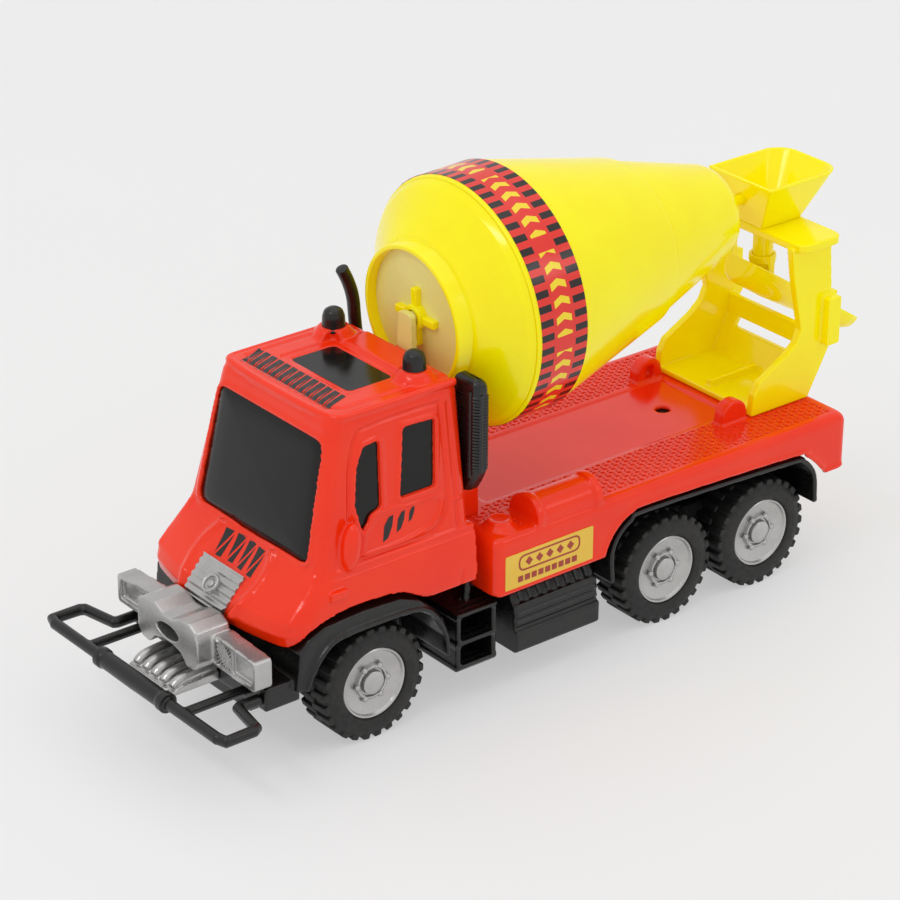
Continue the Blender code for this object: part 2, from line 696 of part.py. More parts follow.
def add_rear_frame(material):
    """The yellow stand: a tray on the deck, two side plates, a slotted back and a top bridge."""
    base = DECK_Z + GAP
    inside = FRAME_HALF - 1.0
    tray = box((-inside, inside), (88.6, 116.4), (base, base + 2.2))
    frame = add_object("rear_frame", tray, material)
    for side in (-1, 1):
        plate = sorted((side * (FRAME_HALF - 3.0), side * FRAME_HALF))
        boss = sorted((side * (FRAME_HALF - 1.0), side * (FRAME_HALF + 3.5)))
        join(frame, prism(side_plate_outline(), "X", *plate))
        join(frame, box(boss, (121.5, 127.8), (82.0, 100.5)))
    back = [(114.5, base + 0.6), (117.0, base + 0.6), (124.6, 77.0), (124.6, 85.0), (122.4, 85.0), (122.4, 77.5)]
    join(frame, prism(back, "X", -inside, inside))
    cut(frame, box((-18.0, 18.0), (116.0, 128.0), (73.3, 77.0)))
    join(frame, box((-1.2, 1.2), (91.5, 115.0), (base + 1.0, base + 4.6)))
    bridge = rounded_rectangle(30.5, 105.7, 126.5, 4.0, 3)
    join(frame, prism(bridge, "Z", BRIDGE_Z, BRIDGE_Z + BRIDGE_THICKNESS))
    join(frame, spout_pipe(SPOUT_RADIUS, 101.5, BRIDGE_Z + 1))
    cut(frame, spout_pipe(SPOUT_RADIUS - 1.1, 95.0, BRIDGE_Z + 8))
    return frame


def spout_pipe(radius, low, high):
    profile = [(low, 0), (low, radius), (high, radius), (high, 0)]
    return moved(lathe(profile, "Z", 14), (*SPOUT, 0))


def d_outline(half, front, back, steps=5):
    """A plan outline with a flat front and well rounded rear corners."""
    bend = half * 0.55
    outline = [(-half, front), (half, front)]
    outline += arc((half - bend, back - bend), bend, 0, 90, steps)
    return outline + arc((bend - half, back - bend), bend, 90, 180, steps)


def hopper_shape(inset, low, high):
    rows = []
    foot = BRIDGE_Z + BRIDGE_THICKNESS
    for z in (low, high):
        rise = (z - foot) / (HOPPER_TOP - foot)
        half = 9.0 + 7.5 * rise - inset
        front = 106.0 - 3.8 * rise + inset
        back = 128.5 + 10.5 * rise - inset
        rows.append([(x, y, z) for x, y in d_outline(half, front, back)])
    return loft(rows)


def add_hopper(material):
    foot = BRIDGE_Z + BRIDGE_THICKNESS + GAP
    hopper = add_object("hopper", hopper_shape(0.0, foot, HOPPER_TOP), material)
    cut(hopper, hopper_shape(1.8, foot + 2.0, HOPPER_TOP + 4))
    cut(hopper, spout_pipe(SPOUT_RADIUS - 1.1, foot - 3, foot + 5))
    hole = lathe([(-2, 0), (-2, 2.3), (9, 2.3), (9, 0)], "Y", 12)
    cut(hopper, on_drum_line(hole))
    return hopper


def trough_ring(along, half, depth, lip=0.0):
    """A half-round section across the chute, square to its slope. A lip raises its two edges."""
    angles = [math.pi * i / 8 for i in range(9)]
    bottom = [(half * math.cos(a), -depth * math.sin(a)) for a in angles]
    if lip:
        bottom = [(half, lip)] + bottom + [(-half, lip)]
    return [(x, along, z) for x, z in bottom]


def add_chute(material):
    """A trough that swings under the spout, built level and then tilted to its slope."""
    line = add_empty("chute_line", (*SPOUT, CHUTE_RIM_Z))
    tip = (CHUTE_TIP_Y - SPOUT[1]) / math.cos(math.radians(CHUTE_SLOPE))
    outside = [(-13.4, 6.6, 8.0), (-12.0, 7.8, 9.2), (6.0, 8.0, 9.4), (tip - 20, 6.6, 8.0)]
    outside += [(tip - 6, 5.8, 7.0), (tip, 3.0, 4.4)]
    hollow = [(-12.2, 5.0, 6.4), (-11.0, 6.2, 7.5), (6.0, 6.4, 7.7), (tip - 20, 5.0, 6.4)]
    hollow += [(tip - 7, 4.2, 5.4), (tip - 1.8, 1.8, 2.8)]
    trough = loft([trough_ring(*section) for section in outside])
    chute = add_object("chute", downhill(trough), material, line)
    cut(chute, downhill(loft([trough_ring(*section, lip=5.0) for section in hollow])))
    for side in (-1, 1):
        join(chute, box(sorted((side * 4.2, side * 5.4)), (-1.8, 1.8), (-5.2, 5.8)))
    collar = [(3.2, 4.1), (3.2, 5.4), (6.6, 5.4), (6.6, 4.1)]
    join(chute, lathe(collar, "Z", 18, ring=True))
    return chute


def downhill(bm):
    """Tilts a shape that lies along local Y down to the chute's slope."""
    bmesh.ops.rotate(bm, verts=bm.verts, matrix=Matrix.Rotation(math.radians(-CHUTE_SLOPE), 3, "X"))
    return bm


# ---- assembly -----------------------------------------------------------------------------
def main():
    clear_scene()
    materials = make_materials()
    for name, y in AXLE_Y.items():
        add_axle(name, y, materials)
    add_chassis(materials["black"])
    add_screws(materials["steel"])
    add_cab(materials["red"])
    add_window_insert(materials["glass"])
    add_beacons(materials["black"])
    add_grille(materials["silver"])
    add_bumper(materials["silver"])
    add_skid_plate(materials["silver"])
    add_bull_bar(materials["black"])
    add_bed(materials["red"])
    add_labels(materials["label"])
    add_front_support(materials["red"])
    add_air_intake(materials["black"])
    add_exhaust(materials["black"])
    add_drum(materials)
    add_rear_frame(materials["yellow"])
    add_hopper(materials["yellow"])
    add_chute(materials["yellow"])


main()
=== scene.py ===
"""Looks for the toy cement mixer truck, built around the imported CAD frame.

Sizes are millimetres in the CAD frame: X is width, -Y the front and Z up. The shape functions scale them
to metres. Each add_ function makes the pieces of one sub-part and puts them on their body.
"""

import math

import bmesh
import bpy
import numpy as np
from mathutils import Matrix, Vector


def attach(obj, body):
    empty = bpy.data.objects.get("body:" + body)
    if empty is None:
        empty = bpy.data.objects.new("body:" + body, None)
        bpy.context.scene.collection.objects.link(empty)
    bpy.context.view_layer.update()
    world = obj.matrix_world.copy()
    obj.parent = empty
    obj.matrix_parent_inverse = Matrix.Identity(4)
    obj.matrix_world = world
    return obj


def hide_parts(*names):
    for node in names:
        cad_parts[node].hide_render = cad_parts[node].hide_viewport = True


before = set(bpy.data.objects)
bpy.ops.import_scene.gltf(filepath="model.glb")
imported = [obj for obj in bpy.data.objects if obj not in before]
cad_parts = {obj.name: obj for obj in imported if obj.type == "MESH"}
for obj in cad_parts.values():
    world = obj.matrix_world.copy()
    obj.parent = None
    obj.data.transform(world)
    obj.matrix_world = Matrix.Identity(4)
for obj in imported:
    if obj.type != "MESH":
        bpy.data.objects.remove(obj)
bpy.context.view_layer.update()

MM = 0.001

# ---- sizes shared with the CAD --------------------------------------------------------------
TYRE_RADIUS = 21.0
TYRE_HALF = 8.0
RIM_RADIUS = 13.0
WHEEL_X = 31.4
AXLE_Y = {"front": -93.0, "middle": 37.9, "rear": 84.2}

DECK_Z = 61.5
BED_HALF = 44.5
BED_FRONT_Y = -46.0
BED_REAR_Y = 120.0
SKIRT_BOTTOM = 39.5

BELT_Z = 67.0
ROOF_Z = 119.5
BELT_HALF = 38.4
ROOF_HALF = 31.3
CAB_REAR_Y = -51.0
CAB_MIDDLE_Y = -80.0
WINDSCREEN_Y = -114.6
WINDSCREEN_RISE = 10.9
WINDSCREEN_BOW = 1.6
BEACON_PLACE = (22.2, -63.4)

DRUM_PIVOT = (0.0, 101.3, 134.5)
DRUM_TILT = 2.2
DRUM_RADIUS = 44.6
RING_RADIUS = 25.6
DRUM_STEPS = 160

FRAME_HALF = 26.5
BRIDGE_Z = 122.0
HOPPER_TOP = 143.0
SPOUT = (0.0, 116.0)
SPOUT_BORE = 2.7
CHUTE_SLOPE = 33.0
CHUTE_RIM_Z = 104.2
CHUTE_TIP_Y = 166.9

BAR_Z = 30.0
BAR_RADIUS = 2.1
BAR_FRONT_Y = -163.3
APRON_FRONT_Y = -138.0
BUMPER_BACK_Y = -135.4

MOST_TRIANGLES = 190000


# ---- shapes ---------------------------------------------------------------------------------
def loft(rings):
    """A body through rings of points, capped at both ends."""
    bm = bmesh.new()
    rows = [[bm.verts.new(Vector(point) * MM) for point in ring] for ring in rings]
    bm.faces.new(rows[0])
    bm.faces.new(rows[-1])
    for lower, upper in zip(rows, rows[1:]):
        for i in range(len(lower)):
            j = (i + 1) % len(lower)
            bm.faces.new((lower[i], lower[j], upper[j], upper[i]))
    bmesh.ops.recalc_face_normals(bm, faces=bm.faces)
    return bm


def prism(outline, axis, low, high):
    """An outline of two coordinates, extruded along the third axis."""
    place = {
        "X": lambda a, b, depth: (depth, a, b),
        "Y": lambda a, b, depth: (a, depth, b),
        "Z": lambda a, b, depth: (a, b, depth),
    }[axis]
    return loft([[place(a, b, depth) for a, b in outline] for depth in (low, high)])


def between(side, near, far):
    """The low and high X of a shape on one side, from its distances to the truck's middle."""
    return sorted((side * near, side * far))


def box(x, y, z):
    """A box from its low and high value on each axis."""
    outline = [(x[0], y[0]), (x[1], y[0]), (x[1], y[1]), (x[0], y[1])]
    return prism(outline, "Z", *z)


def lathe(profile, axis, steps, ring=False):
    """A profile of (along, radius) points turned about X, Y or Z. A ring profile closes up."""
    turn = {
        "X": lambda along, side, up: (along, side, up),
        "Y": lambda along, side, up: (side, along, up),
        "Z": lambda along, side, up: (side, up, along),
    }[axis]
    bm = bmesh.new()
    rows = []
    for along, radius in profile:
        if radius < 1e-6:
            rows.append([bm.verts.new(Vector(turn(along, 0, 0)) * MM)])
            continue
        angles = [2 * math.pi * i / steps for i in range(steps)]
        points = [turn(along, radius * math.cos(a), radius * math.sin(a)) for a in angles]
        rows.append([bm.verts.new(Vector(point) * MM) for point in points])
    pairs = list(zip(rows, rows[1:]))
    if ring:
        pairs.append((rows[-1], rows[0]))
    for first, second in pairs:
        for i in range(steps):
            j = (i + 1) % steps
            corners = [first[i % len(first)], first[j % len(first)]]
            corners += [second[j % len(second)], second[i % len(second)]]
            corners = list(dict.fromkeys(corners))
            if len(corners) > 2:
                bm.faces.new(corners)
    bmesh.ops.recalc_face_normals(bm, faces=bm.faces)
    return bm


def tube(path, radius, sides=16):
    """A round bar along a path of points."""
    points = [Vector(point) for point in path]
    rings = []
    side = None
    for i, point in enumerate(points):
        ahead = points[min(i + 1, len(points) - 1)] - point
        behind = point - points[max(i - 1, 0)]
        direction = (ahead.normalized() + behind.normalized()).normalized()
        if side is None:
            guide = Vector((0, 0, 1)) if abs(direction.z) < 0.9 else Vector((0, 1, 0))
            side = direction.cross(guide)
        side = (side - direction * side.dot(direction)).normalized()
        up = direction.cross(side)
        angles = [2 * math.pi * k / sides for k in range(sides)]
        rings.append([point + (side * math.cos(a) + up * math.sin(a)) * radius for a in angles])
    return loft(rings)


def ellipsoid(centre, radii, tilt=None, steps=24):
    """A ball stretched to three radii. tilt is a rotation matrix."""
    half = steps // 2
    profile = [(-math.cos(math.pi * i / half), math.sin(math.pi * i / half)) for i in range(half + 1)]
    bm = lathe([(along, 0 if radius < 1e-6 else radius) for along, radius in profile], "Z", steps)
    bmesh.ops.scale(bm, verts=bm.verts, vec=Vector(radii))
    if tilt:
        bmesh.ops.rotate(bm, verts=bm.verts, matrix=tilt)
    return moved(bm, centre)


def moved(bm, offset):
    bmesh.ops.translate(bm, verts=bm.verts, vec=Vector(offset) * MM)
    return bm


def turned(bm, degrees, axis):
    turn = Matrix.Rotation(math.radians(degrees), 3, axis)
    bmesh.ops.rotate(bm, verts=bm.verts, matrix=turn)
    return bm


def on_drum_line(bm):
    """Moves a shape from the drum's own frame, where Y is its axis, to the truck's frame."""
    return moved(turned(bm, DRUM_TILT, "X"), DRUM_PIVOT)


def arc(centre, radius, start, end, steps):
    """Points on a circle, from one angle to another in degrees."""
    angles = [math.radians(start + (end - start) * i / steps) for i in range(steps + 1)]
    return [(centre[0] + radius * math.cos(a), centre[1] + radius * math.sin(a)) for a in angles]


def fillet(start, corner, end, steps):
    """Points on the curve that leaves start towards the corner and arrives at end."""
    shares = [k / steps for k in range(steps + 1)]
    return [tuple(start * (1 - t) ** 2 + corner * 2 * t * (1 - t) + end * t**2) for t in shares]


def rounded(corners, radius, steps=5):
    """The closed outline with each corner replaced by a fillet."""
    outline = []
    for i, corner in enumerate(corners):
        here = Vector(corner)
        before = (Vector(corners[i - 1]) - here).normalized()
        after = (Vector(corners[(i + 1) % len(corners)]) - here).normalized()
        half = math.acos(max(-1.0, min(1.0, before.dot(after)))) / 2
        reach = radius / math.tan(half)
        outline += fillet(here + before * reach, here, here + after * reach, steps)
    return outline


def softened(profile, radius=0.5, steps=4):
    """The open profile with its inner corners rounded."""
    result = [profile[0]]
    for before, here, after in zip(profile, profile[1:], profile[2:]):
        here = Vector(here)
        back = Vector(before) - here
        ahead = Vector(after) - here
        reach = min(radius, back.length * 0.45, ahead.length * 0.45)
        result += fillet(here + back.normalized() * reach, here, here + ahead.normalized() * reach, steps)
    result.append(profile[-1])
    return result


def oval(x, z, half_x, half_z, steps=32):
    angles = [2 * math.pi * i / steps for i in range(steps)]
    return [(x + half_x * math.cos(a), z + half_z * math.sin(a)) for a in angles]


def rectangle(half_width, low, high):
    return [(-half_width, low), (half_width, low), (half_width, high), (-half_width, high)]


def smooth_path(points, steps=8):
    """A Catmull-Rom curve through the points, as tuples."""
    points = [Vector(point) for point in points]
    ends = [points[0] * 2 - points[1]] + points + [points[-1] * 2 - points[-2]]
    path = []
    for a, b, c, d in zip(ends, ends[1:], ends[2:], ends[3:]):
        for k in range(steps):
            t = k / steps
            bend = (2 * a - 5 * b + 4 * c - d) * t**2 + (3 * b - a - 3 * c + d) * t**3
            path.append(tuple(0.5 * (2 * b + (c - a) * t + bend)))
    path.append(tuple(points[-1]))
    return path


def join_into(target, source):
    """Moves the source's faces into the target."""
    mesh = bpy.data.meshes.new("part")
    source.to_mesh(mesh)
    source.free()
    target.from_mesh(mesh)
    bpy.data.meshes.remove(mesh)


# ---- objects --------------------------------------------------------------------------------
def add_object(name, bm, material=None, sharp=35):
    """A new object from the shape. Edges steeper than sharp degrees stay sharp."""
    mesh = bpy.data.meshes.new(name)
    bm.to_mesh(mesh)
    bm.free()
    obj = bpy.data.objects.new(name, mesh)
    bpy.context.scene.collection.objects.link(obj)
    finish_mesh(obj, material, sharp)
    return obj


def finish_mesh(obj, material, sharp):
    if material:
        obj.data.materials.clear()
        obj.data.materials.append(material)
    obj.data.shade_smooth()
    if sharp:
        obj.data.set_sharp_from_angle(angle=math.radians(sharp))


def repaint(obj, material):
    """Puts the material into the slots of a CAD node that stays in view."""
    for slot in obj.material_slots:
        slot.material = material


def apply_modifiers(obj):
    """Replaces the object's mesh with what its modifiers make of it."""
    graph = bpy.context.evaluated_depsgraph_get()
    graph.update()
    mesh = bpy.data.meshes.new_from_object(obj.evaluated_get(graph))
    old = obj.data
    obj.modifiers.clear()
    obj.data = mesh
    bpy.data.meshes.remove(old)


def carved(name, first, steps, material, voxel=0.5, relax=3):
    """A moulded piece: shapes joined and cut, then remeshed finely so that each edge is soft."""
    obj = add_object(name, first)
    helpers = []
    for operation, bm in steps:
        helper = add_object("helper", bm)
        modifier = obj.modifiers.new("step", "BOOLEAN")
        modifier.operation = operation
        modifier.solver = "MANIFOLD"
        modifier.object = helper
        helpers.append(helper)
    apply_modifiers(obj)
    for helper in helpers:
        mesh = helper.data
        bpy.data.objects.remove(helper)
        bpy.data.meshes.remove(mesh)
    remesh = obj.modifiers.new("remesh", "REMESH")
    remesh.mode = "VOXEL"
    remesh.voxel_size = voxel * MM
    if relax:
        smooth = obj.modifiers.new("smooth", "SMOOTH")
        smooth.factor = 0.5
        smooth.iterations = relax
    apply_modifiers(obj)
    finish_mesh(obj, material, None)
    return obj


def add(*shapes):
    return [("UNION", bm) for bm in shapes]


def cut(*shapes):
    return [("DIFFERENCE", bm) for bm in shapes]


def vertices_of(obj):
    points = np.empty(len(obj.data.vertices) * 3, np.float32)
    obj.data.vertices.foreach_get("co", points)
    return points.reshape(-1, 3).astype(float) / MM


def normals_of(obj):
    normals = np.empty(len(obj.data.vertices) * 3, np.float32)
    obj.data.vertex_normals.foreach_get("vector", normals)
    return normals.reshape(-1, 3).astype(float)


def set_vertices(obj, points):
    obj.data.vertices.foreach_set("co", (points * MM).astype(np.float32).ravel())
    obj.data.update()


def distance_to_path(points, path):
    """Each point's distance to a line of straight runs."""
    nearest = np.full(len(points), 1e9)
    for start, end in zip(path, path[1:]):
        start = np.array(start, float)
        run = np.array(end, float) - start
        share = np.clip(((points - start) @ run) / max(run @ run, 1e-9), 0, 1)
        nearest = np.minimum(nearest, np.linalg.norm(points - start - share[:, None] * run, axis=1))
    return nearest


def emboss(obj, paths, width, height, outward=None):
    """Raises a soft ridge along each path, or sinks a groove where the height is negative."""
    points = vertices_of(obj)
    normals = normals_of(obj)
    push = np.zeros(len(points))
    for path in paths:
        near = distance_to_path(points, path)
        push = np.maximum(push, np.exp(-((near / width) ** 2) * 2.0))
    if outward is not None:
        facing = normals @ np.array(outward, float)
        push = push * np.clip(facing * 3.0, 0, 1)
    set_vertices(obj, points + normals * (push * height)[:, None])


def thicken(obj, thickness):
    """Gives an open sheet a thickness, centred on it."""
    modifier = obj.modifiers.new("thickness", "SOLIDIFY")
    modifier.thickness = thickness * MM
    modifier.offset = 0.0
    apply_modifiers(obj)


def bevel(obj, width, angle=30):
    """Rounds the edges that are steeper than an angle."""
    modifier = obj.modifiers.new("bevel", "BEVEL")
    modifier.width = width * MM
    modifier.segments = 3
    modifier.limit_method = "ANGLE"
    modifier.angle_limit = math.radians(angle)
    modifier.harden_normals = False
    apply_modifiers(obj)


def add_print(name, outlines, axis, target, depth):
    """Printed shapes laid on a surface: flat outlines cut up finely, then projected along an axis."""
    longest_edge, lift, reach = 0.8, 0.07, 30.0
    place = {
        "X": lambda a, b: (depth, a, b),
        "Y": lambda a, b: (a, depth, b),
        "Z": lambda a, b: (a, b, depth),
    }[axis]
    bm = bmesh.new()
    for outline in outlines:
        bm.faces.new([bm.verts.new(Vector(place(a, b)) * MM) for a, b in outline])
    bmesh.ops.triangulate(bm, faces=bm.faces)
    for _ in range(3):
        long_edges = [edge for edge in bm.edges if edge.calc_length() > longest_edge * MM]
        if long_edges:
            bmesh.ops.subdivide_edges(bm, edges=long_edges, cuts=1, use_grid_fill=False)
            bmesh.ops.triangulate(bm, faces=bm.faces)
    obj = add_object(name, bm, PRINT, None)
    wrap = obj.modifiers.new("wrap", "SHRINKWRAP")
    wrap.target = target
    wrap.wrap_method = "PROJECT"
    wrap.use_project_x = axis == "X"
    wrap.use_project_y = axis == "Y"
    wrap.use_project_z = axis == "Z"
    wrap.use_negative_direction = True
    wrap.use_positive_direction = True
    wrap.project_limit = reach * MM
    wrap.offset = lift * MM
    apply_modifiers(obj)
    finish_mesh(obj, PRINT, None)
    stands_for(obj, "truck", "band_sticker")


def lighten(obj):
    """Merges the smallest faces of a piece that has more triangles than it needs."""
    triangles = sum(len(face.vertices) - 2 for face in obj.data.polygons)
    if triangles > MOST_TRIANGLES:
        modifier = obj.modifiers.new("lighten", "DECIMATE")
        modifier.ratio = MOST_TRIANGLES / triangles
        apply_modifiers(obj)


def stands_for(obj, body, slot, *nodes):
    """Rides the piece on its body and hides the CAD nodes that it replaces. The slot argument is not used."""
    lighten(obj)
    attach(obj, body)
    if nodes:
        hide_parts(*nodes)


# ---- materials ------------------------------------------------------------------------------
def linear(red, green, blue):
    """A colour of 0 to 255 steps, as the shader's linear values."""
    def channel(value):
        value /= 255.0
        return value / 12.92 if value <= 0.04045 else ((value + 0.055) / 1.055) ** 2.4
    return (channel(red), channel(green), channel(blue), 1.0)


class Nodes:
    """Short calls that add nodes to one material."""

    def __init__(self, name):
        self.material = bpy.data.materials.new(name)
        self.material.use_nodes = True
        self.tree = self.material.node_tree
        self.shader = self.tree.nodes["Principled BSDF"]
        self.place = self.tree.nodes.new("ShaderNodeTexCoord").outputs["Object"]
        self.uv = self.tree.nodes["Texture Coordinate"].outputs["UV"]

    def link(self, output, socket):
        self.tree.links.new(output, socket)

    def noise(self, scale, detail=3.0):
        node = self.tree.nodes.new("ShaderNodeTexNoise")
        node.inputs["Scale"].default_value = scale
        node.inputs["Detail"].default_value = detail
        node.inputs["Roughness"].default_value = 0.5
        self.link(self.place, node.inputs["Vector"])
        return node.outputs["Fac"]

    def remap(self, value, low, high, to_low, to_high):
        node = self.tree.nodes.new("ShaderNodeMapRange")
        self.link(value, node.inputs["Value"])
        for socket, number in zip(("From Min", "From Max", "To Min", "To Max"), (low, high, to_low, to_high)):
            node.inputs[socket].default_value = number
        return node.outputs["Result"]

    def math(self, operation, a, b=None, c=None):
        node = self.tree.nodes.new("ShaderNodeMath")
        node.operation = operation
        for socket, value in zip(node.inputs, (a, b, c)):
            if value is None:
                continue
            if isinstance(value, (int, float)):
                socket.default_value = value
            else:
                self.link(value, socket)
        return node.outputs["Value"]

    def blend(self, share, first, second):
        node = self.tree.nodes.new("ShaderNodeMix")
        node.data_type = "RGBA"
        self.link(share, node.inputs["Factor"])
        for socket, value in ((node.inputs[6], first), (node.inputs[7], second)):
            if isinstance(value, tuple):
                socket.default_value = value
            else:
                self.link(value, socket)
        return node.outputs[2]

    def bump(self, height, strength, distance):
        node = self.tree.nodes.new("ShaderNodeBump")
        node.inputs["Strength"].default_value = strength
        node.inputs["Distance"].default_value = distance * MM
        self.link(height, node.inputs["Height"])
        self.link(node.outputs["Normal"], self.shader.inputs["Normal"])

    def map_axes(self):
        """How far round and across a mapped sheet each point is, from 0 to 1."""
        node = self.tree.nodes.new("ShaderNodeSeparateXYZ")
        self.link(self.uv, node.inputs["Vector"])
        return node.outputs["X"], node.outputs["Y"]

    def uneven(self, socket, scale, low, high, detail=3.0):
        """Lets a shader value drift between two numbers with a noise."""
        self.link(self.remap(self.noise(scale, detail), 0.3, 0.7, low, high), self.shader.inputs[socket])

    def tint(self, share, first, second):
        """A base colour that changes from the first to the second with a share."""
        self.link(self.blend(share, first, second), self.shader.inputs["Base Color"])

    def socket(self, name, value):
        self.shader.inputs[name].default_value = value


def plastic(name, colour, shade, roughness, grain=0.25, gloss=0.5):
    """Moulded plastic: slightly uneven colour and gloss, and a faint ripple from the mould."""
    nodes = Nodes(name)
    nodes.tint(nodes.remap(nodes.noise(45.0), 0.35, 0.65, 0.0, 1.0), colour, shade)
    nodes.uneven("Roughness", 420.0, roughness * 0.8, roughness * 1.25, 2.0)
    nodes.bump(nodes.noise(160.0, 3.0), grain, 0.06)
    nodes.socket("Specular IOR Level", gloss)
    return nodes.material


def glow(material, amount, reach, painted_glow):
    """Lets some light through the plastic, and paints a glow on it: the last argument is an emission colour, painted
    light that lifts the plastic's shaded sides.
    """
    shader = material.node_tree.nodes["Principled BSDF"]
    shader.inputs["Subsurface Weight"].default_value = amount
    shader.inputs["Subsurface Radius"].default_value = reach
    shader.inputs["Subsurface Scale"].default_value = 4 * MM
    # Painted light: the plastic glows in this colour whatever the lamps, so its shaded sides stay warm.
    shader.inputs["Emission Color"].default_value = painted_glow
    shader.inputs["Emission Strength"].default_value = 1.0


def silver_paint(name):
    """Silver paint over plastic, with patches that are rubbed a little darker."""
    nodes = Nodes(name)
    worn = nodes.remap(nodes.noise(90.0), 0.4, 0.75, 0.0, 1.0)
    nodes.tint(worn, linear(192, 191, 190), linear(177, 176, 174))
    nodes.uneven("Roughness", 120.0, 0.25, 0.3, 2.0)
    nodes.socket("Metallic", 0.85)
    nodes.bump(nodes.noise(160.0, 2.0), 0.04, 0.03)
    return nodes.material


def rubber():
    """Black rubber with a little dust."""
    nodes = Nodes("tyre_rubber")
    dusty = nodes.remap(nodes.noise(90.0, 4.0), 0.35, 0.7, 0.0, 1.0)
    nodes.tint(dusty, linear(20, 19, 18), linear(30, 28, 26))
    nodes.uneven("Roughness", 500.0, 0.5, 0.68)
    nodes.bump(nodes.noise(700.0, 3.0), 0.4, 0.06)
    return nodes.material


def glazing():
    """Smoked plastic that looks black."""
    nodes = Nodes("dark_glazing")
    fade = nodes.remap(nodes.noise(25.0, 2.0), 0.3, 0.7, 0.0, 1.0)
    nodes.tint(fade, linear(12, 11, 10), linear(18, 17, 16))
    nodes.uneven("Roughness", 300.0, 0.12, 0.18)
    nodes.socket("Specular IOR Level", 0.3)
    nodes.bump(nodes.noise(60.0, 2.0), 0.08, 0.05)
    return nodes.material


def band_print():
    """The drum's red band: black dashes along both edges and yellow chevrons between them."""
    nodes = Nodes("band_print")
    around, across = nodes.map_axes()

    def share_of(count, filled, shift=None):
        """1 in the first filled share of each of count steps round the band, and 0 in the rest."""
        steps = nodes.math("MULTIPLY", around, count)
        if shift:
            steps = nodes.math("MULTIPLY_ADD", from_middle, shift, steps)
        return nodes.math("LESS_THAN", nodes.math("FRACT", steps), filled)

    from_middle = nodes.math("ABSOLUTE", nodes.math("SUBTRACT", across, 0.5))
    black = nodes.math("MULTIPLY", share_of(56.0, 0.5), nodes.math("GREATER_THAN", from_middle, 0.235))
    chevron = nodes.math("MULTIPLY", share_of(48.0, 0.42, 1.5), nodes.math("LESS_THAN", from_middle, 0.165))
    yellow = nodes.math("MULTIPLY", chevron, share_of(8.0, 0.84))
    red = nodes.blend(nodes.noise(40.0), linear(232, 52, 40), linear(222, 44, 34))
    nodes.tint(black, nodes.blend(yellow, red, linear(244, 214, 40)), linear(32, 22, 20))
    nodes.uneven("Roughness", 200.0, 0.14, 0.22)
    nodes.bump(nodes.noise(30.0, 2.0), 0.35, 0.25)
    return nodes.material


RED = plastic("red_plastic", linear(244, 50, 8), linear(240, 44, 6), 0.16, 0.08, 0.42)
YELLOW = plastic("yellow_plastic", linear(252, 241, 0), linear(250, 236, 0), 0.14, 0.06, 0.38)
CREAM = plastic("cream_plastic", linear(238, 232, 140), linear(232, 224, 126), 0.35, 0.1)
BLACK = plastic("black_plastic", linear(18, 17, 16), linear(12, 12, 11), 0.3, 0.25)
PRINT = plastic("black_print", linear(24, 20, 19), linear(18, 15, 14), 0.35, 0.1)
BADGE = plastic("label_print", linear(168, 60, 44), linear(158, 52, 38), 0.4, 0.1)
LABEL = plastic("label_sticker", linear(238, 196, 70), linear(232, 188, 62), 0.42, 0.12)
SILVER = silver_paint("silver_paint")
STEEL = silver_paint("axle_steel")
RUBBER = rubber()
GLASS = glazing()
BAND = band_print()
# The last colour of each call is a painted glow that lifts the shaded sides: orange on the yellow, red on the red.
glow(YELLOW, 0.25, (1.0, 0.6, 0.1), linear(66, 46, 0))
glow(RED, 0.12, (1.0, 0.25, 0.1), linear(30, 2, 0))


# ---- wheels ---------------------------------------------------------------------------------
TREAD_BLOCKS = 26


def tread_block(angle, half_angle, x_out, x_in, root, top):
    """One block, from its outer end at the shoulder to its inner end by the tyre's middle."""
    rings = []
    for radius, spread in ((root, 1.25), (top, 0.85)):
        ring = []
        for x, lean, sign in ((x_out, 0.0, -1), (x_out, 0.0, 1), (x_in, 0.35, 1), (x_in, 0.35, -1)):
            turn = angle + half_angle * (spread * sign + lean)
            ring.append((x, radius * math.cos(turn), radius * math.sin(turn)))
        rings.append(ring)
    return loft(rings)


def tyre_mesh():
    """The carcass with two rows of staggered blocks, about the X axis."""
    half = TYRE_HALF
    inner = RIM_RADIUS + 0.1
    profile = [(half - 0.6, inner), (half - 0.1, inner + 0.5), (half, inner + 1.4), (half - 0.1, 16.6)]
    profile += [(half - 0.4, 18.2), (half - 1.1, 19.4), (half - 2.4, 20.0)]
    profile = profile + [(-along, radius) for along, radius in reversed(profile)]
    tyre = lathe(profile, "X", 96, ring=True)
    pitch = 2 * math.pi / TREAD_BLOCKS
    for side, shift in ((1, 0.0), (-1, 0.5)):
        for i in range(TREAD_BLOCKS):
            angle = (i + shift) * pitch
            block = tread_block(angle, pitch * 0.31, side * (half - 0.75), side * -0.8, 18.6, TYRE_RADIUS)
            join_into(tyre, block)
    obj = add_object("tyre_shape", tyre, RUBBER)
    bevel(obj, 0.5, 40)
    finish_mesh(obj, RUBBER, 50)
    return mesh_of(obj)


def mesh_of(obj):
    """The mesh of an object that is itself no longer needed."""
    mesh = obj.data
    bpy.data.objects.remove(obj)
    return mesh


